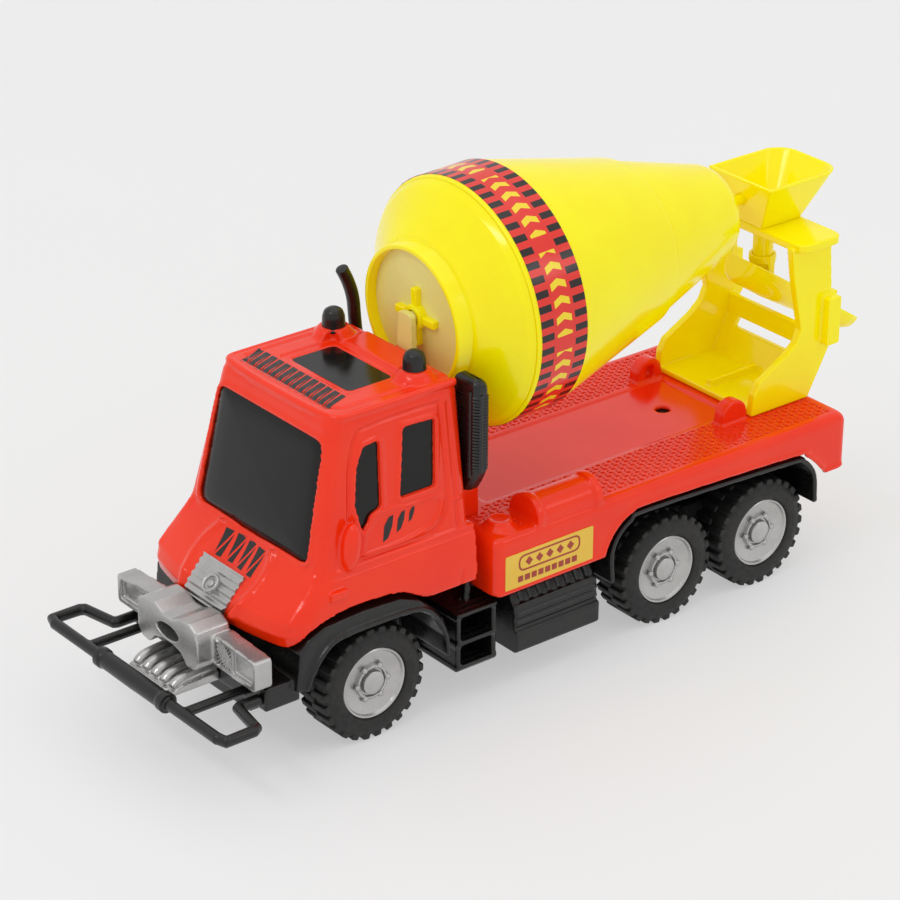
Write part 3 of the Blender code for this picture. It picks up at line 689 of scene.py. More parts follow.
def rim_mesh():
    """A dished rim about the X axis, with a lobed ring round its hub cap. It faces +X."""
    lip = [(7.0, RIM_RADIUS - 0.05), (7.25, 12.6), (7.1, 12.1), (6.3, 11.6)]
    dish = [(5.6, 9.0), (5.2, 7.0), (5.15, 6.5), (6.2, 6.2), (6.4, 5.8), (6.2, 5.3), (5.2, 5.0)]
    cap = [(5.15, 4.5), (6.9, 4.2), (7.2, 3.8), (7.25, 2.0), (7.25, 0)]
    back = [(-6.0, RIM_RADIUS - 0.05), (-6.0, 11.6), (0.0, 10.4), (0.0, 4.2), (-6.0, 4.2), (-6.0, 1.8)]
    profile = [(4.6, 0), (4.6, 1.8)] + back[::-1] + lip + dish + cap
    rim = lathe(profile, "X", 96)
    for i in range(6):
        nub = ellipsoid((6.0, 0, 6.3), (1.0, 1.15, 1.15), steps=16)
        join_into(rim, turned(nub, i * 60 + 20, "X"))
    return mesh_of(add_object("rim_shape", rim, SILVER, 40))


def add_wheels():
    tyre = tyre_mesh()
    rim = rim_mesh()
    for name, y in AXLE_Y.items():
        body = f"{name}_wheels"
        for side, word in ((1, "left"), (-1, "right")):
            for mesh, kind, slot in ((tyre, "tyre", "tyre_rubber"), (rim, "rim", "silver_paint")):
                obj = bpy.data.objects.new(f"{name}_{word}_{kind}_look", mesh)
                bpy.context.scene.collection.objects.link(obj)
                obj.location = Vector((side * WHEEL_X, y, TYRE_RADIUS)) * MM
                obj.rotation_euler = (math.radians(11 * side), 0, 0 if side > 0 else math.pi)
                stands_for(obj, body, slot, f"{name}_{word}_{kind}")
        repaint(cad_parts[f"{name}_axle"], STEEL)


# ---- drum -----------------------------------------------------------------------------------
def add_drum_turning(name, profile, *nodes, radius=0.5, corner_steps=4, steps=DRUM_STEPS, material=None):
    """A piece of the drum, turned about the drum's axis from its profile."""
    shape = on_drum_line(lathe(softened(profile, radius, corner_steps), "Y", steps))
    obj = add_object(name, shape, material or YELLOW, 30)
    stands_for(obj, "drum", "yellow_plastic", *nodes)


def add_drum():
    """The shells of the drum, each a closed profile, and the cross on its front."""
    ring = RING_RADIUS
    front = [(-145.6, ring - 1.9), (-149.0, ring - 1.7), (-149.0, ring), (-143.6, ring + 0.4)]
    front += [(-143.2, ring + 0.5), (-142.8, ring + 1.8), (-132.6, 41.6), (-130.9, 43.0), (-130.1, 43.6)]
    front += [(-130.1, 41.0), (-141.0, ring - 1.0), (-145.6, ring - 1.9)]
    add_drum_turning("drum_front_cone", front, "drum_front")

    disc = [(-145.4, 0), (-145.4, ring - 1.5), (-144.0, ring - 1.5), (-144.0, 0)]
    add_drum_turning("drum_front_disc", disc, steps=96, material=CREAM)
    hub = lathe([(-148.6, 2.7), (-148.6, 4.6), (-144.8, 4.6), (-144.8, 2.7)], "Y", 48, ring=True)
    for low, high in ((4.2, 10.5), (-10.5, -4.2)):
        join_into(hub, box((-1.4, 1.4), (-147.8, -144.8), (low, high)))
        join_into(hub, box((low, high), (-147.8, -144.8), (-1.4, 1.4)))
    cross = add_object("drum_front_hub", on_drum_line(hub), YELLOW)
    bevel(cross, 0.4)
    stands_for(cross, "drum", "yellow_plastic")

    shell = [(-130.0, 41.0), (-130.0, DRUM_RADIUS - 0.5), (-128.4, DRUM_RADIUS), (-127.9, DRUM_RADIUS - 0.5)]
    shell += [(-109.3, DRUM_RADIUS - 0.5), (-108.8, DRUM_RADIUS - 0.1), (-56.0, 31.1)]
    shell += [(-55.4, 30.4), (-55.4, 28.0), (-108.0, 41.5), (-130.0, 41.0)]
    add_drum_turning("drum_main_shell", shell, "drum_shell", radius=0.6)

    rear = [(-55.6, 27.5), (-55.3, 29.9), (-15.8, 18.0), (-12.8, 16.2), (-12.0, 13.2), (-12.0, 0)]
    add_drum_turning("drum_rear_cone", rear, "drum_rear", radius=1.6, corner_steps=6)
    pin = [(-12.2, 0), (-12.2, 4.2), (-7.6, 4.0), (-7.4, 1.9), (4.4, 1.9), (4.4, 0)]
    add_drum_turning("drum_rear_pin", pin, "rear_pivot_pin", radius=0.3, steps=48)
    add_band()


def add_band():
    """The printed band, as an open sheet with a map round and across it, then thickened."""
    front, rear = -128.6, -109.0
    radius = DRUM_RADIUS + 0.02
    rows_across = 8
    bm = bmesh.new()
    uv = bm.loops.layers.uv.new("map")
    rows = []
    for k in range(rows_across + 1):
        along = front + (rear - front) * (k / rows_across)
        angles = [2 * math.pi * i / DRUM_STEPS for i in range(DRUM_STEPS)]
        points = [(radius * math.cos(a), along, radius * math.sin(a)) for a in angles]
        rows.append([bm.verts.new(Vector(point) * MM) for point in points])
    for k, (first, second) in enumerate(zip(rows, rows[1:])):
        for i in range(DRUM_STEPS):
            j = (i + 1) % DRUM_STEPS
            face = bm.faces.new((first[i], second[i], second[j], first[j]))
            corners = ((i, k), (i, k + 1), (i + 1, k + 1), (i + 1, k))
            for loop, (round_step, row) in zip(face.loops, corners):
                loop[uv].uv = (round_step / DRUM_STEPS, row / rows_across)
    bmesh.ops.recalc_face_normals(bm, faces=bm.faces)
    band = add_object("drum_band_print", on_drum_line(bm), BAND, 30)
    thicken(band, 0.16)
    finish_mesh(band, BAND, 30)
    stands_for(band, "drum", "band_sticker", "drum_band")


# ---- cab ------------------------------------------------------------------------------------
def cab_section(z, shrink):
    """The cab's plan outline above the belt line, at one height. shrink draws it in at the roof's edge."""
    rise = (z - BELT_Z) / (ROOF_Z - BELT_Z)
    half = (BELT_HALF + (ROOF_HALF - BELT_HALF) * rise) * shrink
    front = CAB_MIDDLE_Y + (WINDSCREEN_Y + WINDSCREEN_RISE * rise - CAB_MIDDLE_Y) * shrink
    rear = CAB_MIDDLE_Y + (CAB_REAR_Y - 0.6 - CAB_MIDDLE_Y) * shrink
    outline = rounded([(-half, front), (half, front), (half, rear), (-half, rear)], 5.0, 6)
    ring = []
    for x, y in outline:
        bow = WINDSCREEN_BOW * max(0.0, 1 - (x / half) ** 2) if y < CAB_MIDDLE_Y else 0.0
        ring.append((x, y - bow, z))
    return ring


def side_x(z):
    """Half the cab's width at a height, for what lies on its side walls."""
    if z < BELT_Z:
        return 41.0 - max(0.0, z - 56.0) * 0.12
    return BELT_HALF + (ROOF_HALF - BELT_HALF) * (z - BELT_Z) / (ROOF_Z - BELT_Z)


def on_side(points, side, lift=0.0):
    """Points given as (y, z), placed on the cab's side wall."""
    return [(side * (side_x(z) + lift), y, z) for y, z in points]


def nose_ring(z, half, nose, bow):
    """The plan outline below the belt line: flat rear, bowed nose and rounded front corners."""
    corner = 7.0
    points = [(-half, CAB_REAR_Y), (half, CAB_REAR_Y)]
    count = 28
    for i in range(count + 1):
        share = math.cos(math.pi * i / count)
        x = half * share
        past = max(0.0, abs(x) - (half - corner)) / corner
        y = nose + bow * share**2 + corner * (1 - math.sqrt(max(0.0, 1 - past**2)))
        points.append((x, y))
    return [(x, y, z) for x, y in points]


def cab_lower():
    """The hood and doors below the belt line. Each level is (height, half width, nose, bow)."""
    levels = [
        (44.5, 39.6, -131.6, 6.5), (46.0, 40.6, -133.6, 6.5), (50.0, 41.0, -134.4, 6.5),
        (54.0, 41.0, -132.4, 6.0), (58.0, 40.8, -128.6, 5.5), (62.0, 40.3, -124.0, 4.5),
        (65.5, 39.8, -119.6, 3.5), (68.2, 38.9, -116.6, 2.0),
    ]
    return loft([nose_ring(*level) for level in levels])


def cab_upper():
    """The window part and the roof. Each level is (height, shrink)."""
    levels = [(BELT_Z - 4, 1.0), (ROOF_Z - 4.0, 1.0), (ROOF_Z - 2.0, 0.985), (ROOF_Z - 0.7, 0.96), (ROOF_Z, 0.92)]
    return loft([cab_section(*level) for level in levels])


def cab_arch():
    """The front wheel's opening, seen from the side."""
    y = AXLE_Y["front"]
    path = [(y - 36.0, 43.9), (y - 32.5, 47.0), (y - 28.0, 50.9), (y - 20.0, 53.6), (y - 10.4, 54.6), (y, 54.4)]
    path += [(y + 9.4, 53.4), (y + 16.0, 50.2), (y + 19.5, 48.2), (y + 23.0, 47.5)]
    return [(y - 36.0, 36.0)] + smooth_path(path, 4) + [(CAB_REAR_Y + 6, 47.5), (CAB_REAR_Y + 6, 36.0)]


WINDSCREEN = [(-31.6, 69.0), (31.6, 69.0), (29.2, 111.0), (-29.2, 111.0)]
QUARTER_WINDOW = [(-85.8, 108.4), (-93.8, 107.4), (-97.2, 101.0), (-99.2, 88.0), (-96.6, 75.2)]
QUARTER_WINDOW += [(-91.6, 82.4), (-87.4, 84.4)]
DOOR_WINDOW = [(-81.0, 84.7), (-65.0, 84.8), (-62.6, 109.3), (-77.2, 109.8)]
ROOF_WINDOW = rectangle(16.4, -86.4, -67.4)


def roof_rail():
    """A round rail that runs along the roof's front and side edges."""
    side, front = ROOF_HALF - 0.9, WINDSCREEN_Y + WINDSCREEN_RISE + 1.0
    half = [(side, CAB_REAR_Y - 2.0), (side, front + 6.0), (side - 0.8, front + 2.4), (side - 3.4, front + 0.3)]
    half += [(side * 0.5, front - 0.8)]
    path = half + [(0.0, front - 1.1)] + [(-x, y) for x, y in reversed(half)]
    return tube(smooth_path([(x, y, ROOF_Z - 1.3) for x, y in path], 5), 1.5, 16)


def window_pockets():
    """Pockets in the cab's walls that the glazing sits in."""
    screen = rounded(WINDSCREEN, 4.0)
    shapes = [loft([[(x, windscreen_y(z) + depth, z) for x, z in screen] for depth in (-6.0, 2.0)])]
    for side in (-1, 1):
        for outline, corner in ((QUARTER_WINDOW, 2.6), (DOOR_WINDOW, 2.2)):
            ring = rounded(outline, corner)
            shapes.append(loft([on_side(ring, side, lift) for lift in (5.0, -1.1)]))
    shapes.append(prism(rounded(ROOF_WINDOW, 2.0), "Z", ROOF_Z - 1.3, ROOF_Z + 5))
    return shapes


def windscreen_y(z):
    """Where the windscreen's slope is, at a height and at the cab's sides."""
    return WINDSCREEN_Y + WINDSCREEN_RISE * (z - BELT_Z) / (ROOF_Z - BELT_Z)


def screen_bow(x):
    """How far the windscreen bows forwards of its slope."""
    return WINDSCREEN_BOW * max(0.0, 1 - (x / 36.0) ** 2)


def beacon_pods():
    """The rounded feet that the beacons stand on."""
    top = ROOF_Z + 3.4
    profile = [(ROOF_Z - 2, 0), (ROOF_Z - 2, 8.6), (ROOF_Z + 0.4, 7.4), (top - 0.9, 5.9), (top, 4.9), (top, 0)]
    x, y = BEACON_PLACE
    return [moved(lathe(profile, "Z", 32), (side * x, y, 0)) for side in (-1, 1)]


def add_cab():
    """The red cab, with its mirror shapes, side lamps, rain strips and a raised panel on the roof."""
    steps = add(cab_upper(), roof_rail(), *beacon_pods())
    for side in (-1, 1):
        tilt = Matrix.Rotation(math.radians(-8), 3, "X")
        mirror = ellipsoid((side * 39.2, -102.8, 76.0), (3.4, 3.4, 8.6), tilt)
        lamp = box(between(side, 38.0, 42.2), (-113.0, -106.0), (59.6, 62.8))
        strip = box(between(side, 36.0, 37.6), (-58.4, -55.0), (78.4, 79.2))
        steps += add(mirror, lamp, strip)
    steps += cut(prism(cab_arch(), "X", -60, 60), *window_pockets())
    steps += cut(prism(rounded(rectangle(19.5, -89.0, -65.4), 2.0), "Z", ROOF_Z - 0.6, ROOF_Z + 6))
    steps += add(prism(rounded(rectangle(16.5, -64.5, -53.5), 1.2), "Z", ROOF_Z - 1.5, ROOF_Z + 0.7))
    cab = carved("cab_body", cab_lower(), steps, RED, 0.5, 3)
    add_cab_creases(cab)
    stands_for(cab, "truck", "red_plastic", "cab_shell")
    add_cab_prints(cab)


def mirrored_side(paths):
    """Each path of (y, z) points, on both side walls."""
    return [on_side(path, side) for path in paths for side in (-1, 1)]


def add_cab_creases(cab):
    """Grooves and ridges: belt line, door edges, window frames, roof rails and hood brows."""
    belt = [(-113.0, 66.6), (-51.0, 66.6)]
    rear_line = [(-57.4, 112.0), (-57.4, 48.0)]
    emboss(cab, mirrored_side([belt, rear_line]), 0.9, -0.65)
    door = [(-104.0, 72.5), (-101.5, 84.0), (-99.5, 100.0), (-96.0, 110.6), (-90.0, 113.2), (-64.5, 113.4)]
    door += [(-60.6, 110.0), (-60.6, 84.0), (-62.4, 75.0), (-67.0, 70.6), (-74.0, 69.4), (-100.0, 69.6)]
    emboss(cab, mirrored_side([smooth_path(door, 6)]), 0.9, -0.7)
    frames = [rounded(QUARTER_WINDOW, 2.6), rounded(DOOR_WINDOW, 2.2)]
    emboss(cab, mirrored_side([ring + ring[:1] for ring in frames]), 1.5, 1.0)
    crease = [(-97.0, 71.4), (-95.6, 78.0), (-92.6, 82.2), (-87.6, 83.4), (-78.0, 82.4), (-67.0, 82.4)]
    crease += [(-63.6, 79.8), (-65.6, 75.0), (-71.4, 72.0), (-82.0, 70.6), (-96.0, 70.4)]
    emboss(cab, mirrored_side([smooth_path(crease, 6)]), 1.0, 0.9)
    half, front = ROOF_HALF - 4.6, WINDSCREEN_Y + WINDSCREEN_RISE + 4.4
    groove = [(half, -53.0, ROOF_Z), (half, front + 3.0, ROOF_Z), (half - 3.0, front, ROOF_Z)]
    groove += [(-x, y, z) for x, y, z in reversed(groove)]
    emboss(cab, [groove], 0.9, -0.6)
    screen = [(x, windscreen_y(z) - screen_bow(x), z) for x, z in rounded(WINDSCREEN, 4.0)]
    emboss(cab, [screen + screen[:1]], 1.8, 1.1, outward=(0, -1, 0.1))
    for side in (-1, 1):
        brow = [(side * 14.5, -117.5, 68.4), (side * 17.0, -122.0, 65.0), (side * 17.6, -127.5, 60.5)]
        brow += [(side * 16.0, -132.0, 55.0), (side * 14.0, -134.6, 49.0)]
        emboss(cab, [smooth_path(brow, 6)], 2.2, 1.8)
        shoulder = [(side * 36.0, -116.0, 67.6), (side * 38.6, -122.0, 62.0), (side * 38.0, -127.4, 55.0)]
        emboss(cab, [smooth_path(shoulder, 6)], 3.0, 1.2)
    channel = [(0, -118.0, 67.0), (0, -126.0, 61.0), (0, -133.0, 54.0)]
    emboss(cab, [channel], 12.0, -1.2)


def add_cab_prints(cab):
    """Black prints: slanted bars on the roof, a zigzag on the hood and three drops on each door."""
    roof = []
    count = 13
    pitch = 50.0 / count
    front, rear, lean = -100.9, -90.2, -4.2
    for i in range(count):
        x = -23.0 + i * pitch
        roof.append([(x - 1.1, front), (x + 1.0, front), (x + lean + 1.3, rear), (x + lean - 0.9, rear)])
        if i < count - 1:
            roof.append([(x + lean + 1.3, rear), (x + 1.9, front), (x + 2.4, front), (x + lean + 2.1, rear)])
    add_print("roof_bars_print", roof, "Z", cab, ROOF_Z + 3)
    hood = []
    for i in range(4):
        x = -11.2 + 6.0 * i
        hood.append([(x, 67.4), (x + 4.2, 67.4), (x + 2.6, 61.4)])
        hood.append([(x + 3.4, 60.8), (x + 6.2, 60.8), (x + 4.9, 66.8)])
    add_print("hood_zigzag_print", hood, "Y", cab, -140.0)
    drop = [(-2.6, -4.2), (-0.3, -3.2), (1.8, 0.5), (2.6, 4.1), (0.6, 3.8), (-1.5, 1.2)]
    drops = []
    for y, z, size in ((-86.0, 76.6, 1.0), (-80.6, 77.6, 0.8), (-76.0, 78.8, 0.58)):
        drops.append([(y + along * size, z + up * size) for along, up in drop])
    for side, word in ((1, "left"), (-1, "right")):
        add_print(f"door_drops_print_{word}", drops, "X", cab, side * 60.0)


def add_glazing():
    """Dark panes in the cab's pockets. The windscreen bows forwards and rolls in at its edges."""
    rings = []
    outline = rounded(WINDSCREEN, 4.0, 8)
    centre = (0.0, 90.0)
    rolls = [(1.0, 1.6), (0.985, 0.7), (0.95, 0.1)] + [(share, -0.25) for share in (0.85, 0.65, 0.4, 0.2, 0.05)]
    for share, roll in rolls:
        ring = []
        for x, z in outline:
            px = centre[0] + (x - centre[0]) * share
            pz = centre[1] + (z - centre[1]) * share
            ring.append((px, windscreen_y(pz) - screen_bow(px) + roll, pz))
        rings.append(ring)
    back = [(x, y + 4.0, z) for x, y, z in rings[0]]
    pane = add_object("windscreen_pane", loft([back] + rings), GLASS, None)
    stands_for(pane, "truck", "dark_glazing", "window_insert")
    for side, word in ((1, "left"), (-1, "right")):
        for outline, corner, name in ((QUARTER_WINDOW, 2.6, "quarter"), (DOOR_WINDOW, 2.2, "door")):
            ring = rounded(outline, corner, 6)
            rows = [on_side(ring, side, lift) for lift in (-2.5, -0.75)]
            pane = add_object(f"{name}_pane_{word}", loft(rows), GLASS, 30)
            stands_for(pane, "truck", "dark_glazing")
    pane = add_object("roof_pane", prism(rounded(ROOF_WINDOW, 2.0, 6), "Z", ROOF_Z - 3, ROOF_Z - 1.0), GLASS, 30)
    stands_for(pane, "truck", "dark_glazing")


def add_beacons():
    """A black dome on each foot."""
    base = ROOF_Z + 1.7
    profile = [(base, 0), (base, 4.5), (base + 0.9, 4.5), (base + 1.1, 4.1), (base + 5.2, 3.9)]
    profile += [(base + 7.2, 3.2), (base + 8.2, 1.7), (base + 8.5, 0)]
    for side, word in ((1, "left"), (-1, "right")):
        shape = moved(lathe(softened(profile, 0.6, 5), "Z", 48), (side * BEACON_PLACE[0], BEACON_PLACE[1], 0))
        obj = add_object(f"beacon_dome_{word}", shape, BLACK, 40)
        stands_for(obj, "truck", "black_plastic", f"beacon_{word}")


# ---- grille, bumper, skid plate and bull bar --------------------------------------------------
def grille_point(x, z, lift):
    """A point on the hood's front slope. lift is how far it stands out along the slope's normal."""
    slope = (60.8 - 50.0) / 9.5
    length = math.hypot(1.0, slope)
    y = -134.4 + max(0.0, z - 50.0) / slope
    return (x, y - lift * slope / length, z + lift / length)


def add_grille():
    """A plate with horizontal ribs, narrower and rounded at the bottom, and a plain ring badge."""
    rows = []
    low, high = 46.6, 60.2
    count = 61
    for k in range(count):
        share = k / (count - 1)
        z = low + (high - low) * share
        half = 11.4 if z > 52.5 else 11.4 - 6.4 * ((52.5 - z) / 5.9) ** 2.2
        ribs = 0.35 + 0.35 * math.cos(share * 2 * math.pi * 7.0)
        left = [grille_point(-half, z, -1.2), grille_point(-half, z, 0.6 + ribs)]
        right = [grille_point(half, z, 0.6 + ribs), grille_point(half, z, -1.2)]
        rows.append(left + right)
    plate = add_object("grille_ribs", loft(rows), SILVER, 50)
    stands_for(plate, "truck", "silver_paint", "grille_plate")
    ring = [(-1.0, 3.6), (1.5, 3.6), (1.9, 3.2), (1.9, 2.8), (1.5, 2.4)]
    ring += [(0.6, 2.4), (0.6, 1.5), (1.4, 1.2), (1.5, 0), (-1.0, 0)]
    badge = turned(lathe(softened(ring, 0.25, 3), "Z", 64), 42.0, "X")
    obj = add_object("grille_badge", moved(badge, grille_point(0.0, 54.4, 0.6)), SILVER, 40)
    stands_for(obj, "truck", "silver_paint")


def add_bumper():
    """Lamp blocks on each side of a double hump with an oval hole."""
    back = BUMPER_BACK_Y
    steps = []
    for side in (-1, 1):
        block = [(side * 17.0, 36.0), (side * 40.0, 35.3), (side * 40.0, 46.4), (side * 17.0, 47.5)]
        steps += add(prism(rounded(block[::side], 1.8), "Y", -142.8, back - 0.4))
    half_hump = [(2.6, 49.3), (7.5, 51.4), (12.5, 51.6), (16.6, 49.6), (17.6, 46.0), (17.6, 38.6), (15.4, 35.4)]
    half_hump += [(11.0, 34.8), (7.4, 38.6), (3.0, 39.6)]
    hump = half_hump + [(-x, z) for x, z in reversed(half_hump)]
    steps += add(prism(rounded(hump, 1.6), "Y", -149.6, back - 0.8))
    steps += cut(prism(oval(0.0, 43.4, 6.4, 2.7), "Y", -151, -139.5))
    lamp = rounded([(27.6, 37.6), (38.2, 37.4), (38.2, 44.4), (27.6, 45.0)], 0.8)
    mesh_recess = rounded([(18.2, 37.6), (26.4, 37.6), (26.4, 45.6), (18.2, 45.6)], 0.6)
    far_recess = rounded([(-38.2, 37.4), (-20.0, 37.6), (-20.0, 45.4), (-38.2, 44.4)], 0.8)
    for recess in (lamp, mesh_recess, far_recess):
        steps += cut(prism(recess, "Y", -150, -141.4))
    centre = prism(rounded([(-20, 37.0), (20, 37.0), (20, 46.8), (-20, 46.8)], 1.0), "Y", -143.6, back)
    bumper = carved("bumper_face", centre, steps, SILVER, 0.35, 3)
    stands_for(bumper, "truck", "silver_paint", "bumper")
    # A black disc at the bottom of the oval pocket: painted shade for the dark inside of the hole.
    hollow = add_object("bumper_hole_painted_shade", prism(oval(0.0, 43.4, 6.2, 2.5), "Y", -141.0, -139.7), BLACK, 30)
    stands_for(hollow, "truck", "black_plastic")
    mesh_panel = bmesh.new()
    low_x, high_x, low_z, high_z = 18.2, 26.4, 37.6, 45.6
    for k in range(-2, 3):
        for lean in (-1, 1):
            centre_x = (low_x + high_x) / 2 + k * 1.5
            reach_down = min(4.0, abs((low_x if lean > 0 else high_x) - centre_x) * 1.0)
            reach_up = min(4.0, abs((high_x if lean > 0 else low_x) - centre_x) * 1.0)
            middle_z = (low_z + high_z) / 2
            path = [(centre_x - lean * reach_down, -142.3, middle_z - reach_down)]
            path += [(centre_x + lean * reach_up, -142.3, middle_z + reach_up)]
            join_into(mesh_panel, tube(path, 0.28, 8))
    panel = add_object("bumper_mesh_panel", mesh_panel, SILVER, 60)
    stands_for(panel, "truck", "silver_paint")
    lens = lathe([(-143.4, 0), (-143.4, 2.4), (-142.0, 2.9), (-141.5, 2.9), (-141.5, 0)], "Y", 32)
    obj = add_object("bumper_round_lens", moved(lens, (-24.5, 0, 41.6)), SILVER, 40)
    stands_for(obj, "truck", "silver_paint")


def add_skid_plate():
    """A sloping plate with five round ribs and a stub below."""
    back = APRON_FRONT_Y - 0.3
    base = prism([(-156.6, 27.0), (-156.6, 28.2), (-152.5, 29.6), (back, 30.4), (back, 27.0)], "X", -13.0, 13.0)
    steps = []
    for x in (-10.4, -5.2, 0.0, 5.2, 10.4):
        path = [(x, -155.0, 28.6), (x, -152.6, 30.4), (x, -148.0, 31.2), (x, back + 0.1, 31.8)]
        steps += add(tube(smooth_path(path, 6), 2.0, 20))
    stub = lathe(softened([(-157.6, 0), (-157.6, 2.2), (-150.0, 2.2), (-150.0, 0)], 0.4), "Y", 24)
    steps += add(moved(stub, (8.0, 0, 26.4)))
    steps += cut(box((-20, 20), (back, back + 20), (10, 60)))
    plate = carved("skid_plate_ribs", base, steps, SILVER, 0.3, 3)
    stands_for(plate, "truck", "silver_paint", "skid_plate")


def add_bull_bar():
    """A front tube with a roller, bent back at both ends, and two straight stays."""
    outer = 51.3
    front = BAR_FRONT_Y
    back = APRON_FRONT_Y - 0.3
    steps = []
    roller = [(20.0, 0), (20.0, 3.6), (17.0, 3.6), (16.4, 3.1), (0.5, 3.2)]
    profile = [(-x, radius) for x, radius in roller] + roller[::-1]
    steps += add(moved(lathe(profile, "X", 32), (0, front, BAR_Z)))
    for side in (-1, 1):
        loop = [(outer - 4, front), (outer, front + 1.0), (51.2, -151.5), (50.2, -149.8)]
        loop += [(36.6, -147.2), (36.0, -146.0), (36.0, back)]
        steps += add(tube([(side * x, y, BAR_Z) for x, y in loop], BAR_RADIUS, 12))
        steps += add(tube([(side * 28.0, front, BAR_Z), (side * 28.0, back, BAR_Z)], BAR_RADIUS * 0.85, 12))
    front_tube = tube([(-outer + 3, front, BAR_Z), (outer - 3, front, BAR_Z)], BAR_RADIUS, 12)
    bar = carved("bull_bar_tubes", front_tube, steps, BLACK, 0.35, 3)
    stands_for(bar, "truck", "black_plastic", "bull_bar")


# ---- chassis ----------------------------------------------------------------------------------
def front_mudguard():
    """The outside of the mudguard and the edge of its opening, both as (y, z)."""
    y = AXLE_Y["front"]
    outer = [(y - 34.0, 30.4), (y - 32.6, 44.0), (y - 29.0, 48.4), (y - 22.0, 51.2), (y - 6.0, 52.0), (y + 9.0, 51.2)]
    outer += [(y + 17.0, 48.0), (y + 22.0, 44.0), (y + 27.0, 38.0), (y + 30.0, 30.0), (y + 30.4, 23.5)]
    opening = [(y + 27.7, 23.5), (y + 26.6, 32.0), (y + 22.0, 40.6), (y + 15.0, 45.0), (y - 2.0, 45.8), (y - 17.0, 45.2)]
    opening += [(y - 23.0, 42.0), (y - 27.6, 36.0), (y - 30.0, 30.4)]
    return outer, opening


def rear_mudguard():
    """The line over both rear wheels, as (y, z)."""
    front = AXLE_Y["middle"]
    rear = AXLE_Y["rear"]
    path = [(front - 30.6, 27.4), (front - 31.1, 39.2), (front - 28.0, 46.0), (front - 22.0, 50.6), (front - 14.0, 52.4)]
    path += [(rear + 8.0, 49.4), (rear + 16.0, 47.6), (rear + 20.6, 43.0), (rear + 22.5, 38.0), (rear + 23.2, 28.6)]
    return smooth_path(path, 4)


def band_outline(path, thickness):
    points = [Vector(point) for point in path]
    inner = []
    for i, point in enumerate(points):
        ahead = (points[min(i + 1, len(points) - 1)] - points[max(i - 1, 0)]).normalized()
        inner.append(point + Vector((ahead.y, -ahead.x)) * thickness)
    return [tuple(point) for point in points] + [tuple(point) for point in reversed(inner)]


def add_chassis():
    """The black moulding: spine, apron, mudguards, side tanks, ladders and axle holes."""
    half = 17.0
    steps = add(box((-12, 12), (-44, 110), (29, 59.2)), box((-12, 12), (-126, -64), (29, 48.0)))
    steps += add(box((-39, 39), (APRON_FRONT_Y, -124.0), (26.0, 34.5)))
    outer, opening = front_mudguard()
    for side in (-1, 1):
        steps += add(prism(outer + opening, "X", *sorted((side * 11.0, side * 41.6))))
        lip = band_outline(smooth_path(opening, 4), 1.4)
        steps += add(prism(lip, "X", *between(side, 36.0, 43.4)))
        steps += add(prism(band_outline(rear_mudguard(), 1.8), "X", *sorted((side * 11.0, side * 43.9))))
        steps += side_tank(side) + step_ladder(side)
        steps += add(tube([(side * 33.0, -50.0, 34.0), (side * 31.0, -47.0, 47.0)], 1.6, 12))
    for y in AXLE_Y.values():
        hole = lathe([(-20, 0), (-20, 1.9), (20, 1.9), (20, 0)], "X", 16)
        steps += cut(moved(hole, (0, y, TYRE_RADIUS)))
    for x, y in ((10, -108), (-10, -108), (10, 8), (-10, 8)):
        steps += cut(moved(lathe([(10, 0), (10, 3.0), (16, 3.0), (16, 0)], "Z", 20), (x, y, 0)))
    spine = box((-half, half), (-129.0, 114.0), (13.0, 30.0))
    chassis = carved("chassis_moulding", spine, steps, BLACK, 0.55, 2)
    stands_for(chassis, "truck", "black_plastic", "chassis")
    for number in range(1, 5):
        repaint(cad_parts[f"chassis_screw_{number}"], STEEL)


def side_tank(side):
    """A box with a ledge. Its upper half is ribbed along its length and across its top."""
    corners = [(16.0, 11.7), (39.5, 11.7), (40.8, 12.8), (41.0, 20.2)]
    corners += [(39.4, 21.0), (39.4, 28.0), (36.0, 34.0), (16.0, 34.0)]
    steps = add(prism([(side * x, z) for x, z in corners], "Y", -33.0, 4.5))
    for z in (23.0, 26.2, 29.4):
        x = 39.4 if z < 28 else 38.6
        steps += add(tube([(side * x, -32.4, z), (side * x, 4.0, z)], 0.9, 12))
    for i in range(9):
        y = -31.0 + i * 4.2
        steps += add(tube([(side * 38.2, y, 31.0), (side * 35.6, y, 34.4), (side * 28.0, y, 34.8)], 0.9, 10))
    return steps


def step_ladder(side):
    """Two rails with three ribbed rungs, hung behind the front wheel."""
    xs = sorted((side * 16.0, side * 40.0))
    steps = add(*(box(xs, (low, low + 2.0), (15.0, 36.0)) for low in (-58.8, -43.4)))
    for z in (13.4, 22.8, 33.6):
        steps += add(box(xs, (-59.2, -41.4), (z, z + 2.0)))
        for x in (40.2, 37.4, 34.6):
            steps += add(tube([(side * x, -58.6, z + 1.8), (side * x, -42.0, z + 1.8)], 0.8, 10))
    back = sorted((side * 16.0, side * 26.0))
    steps += add(box(back, (-58.0, -42.0), (14.0, 36.0)))
    return steps


# ---- bed --------------------------------------------------------------------------------------
def bed_ring(z, inset):
    """The bed's plan outline at a height, drawn in by an inset."""
    outline = rectangle(BED_HALF - inset, BED_FRONT_Y + inset, BED_REAR_Y - inset)
    return [(x, y, z) for x, y in rounded(outline, 4.0, 6)]


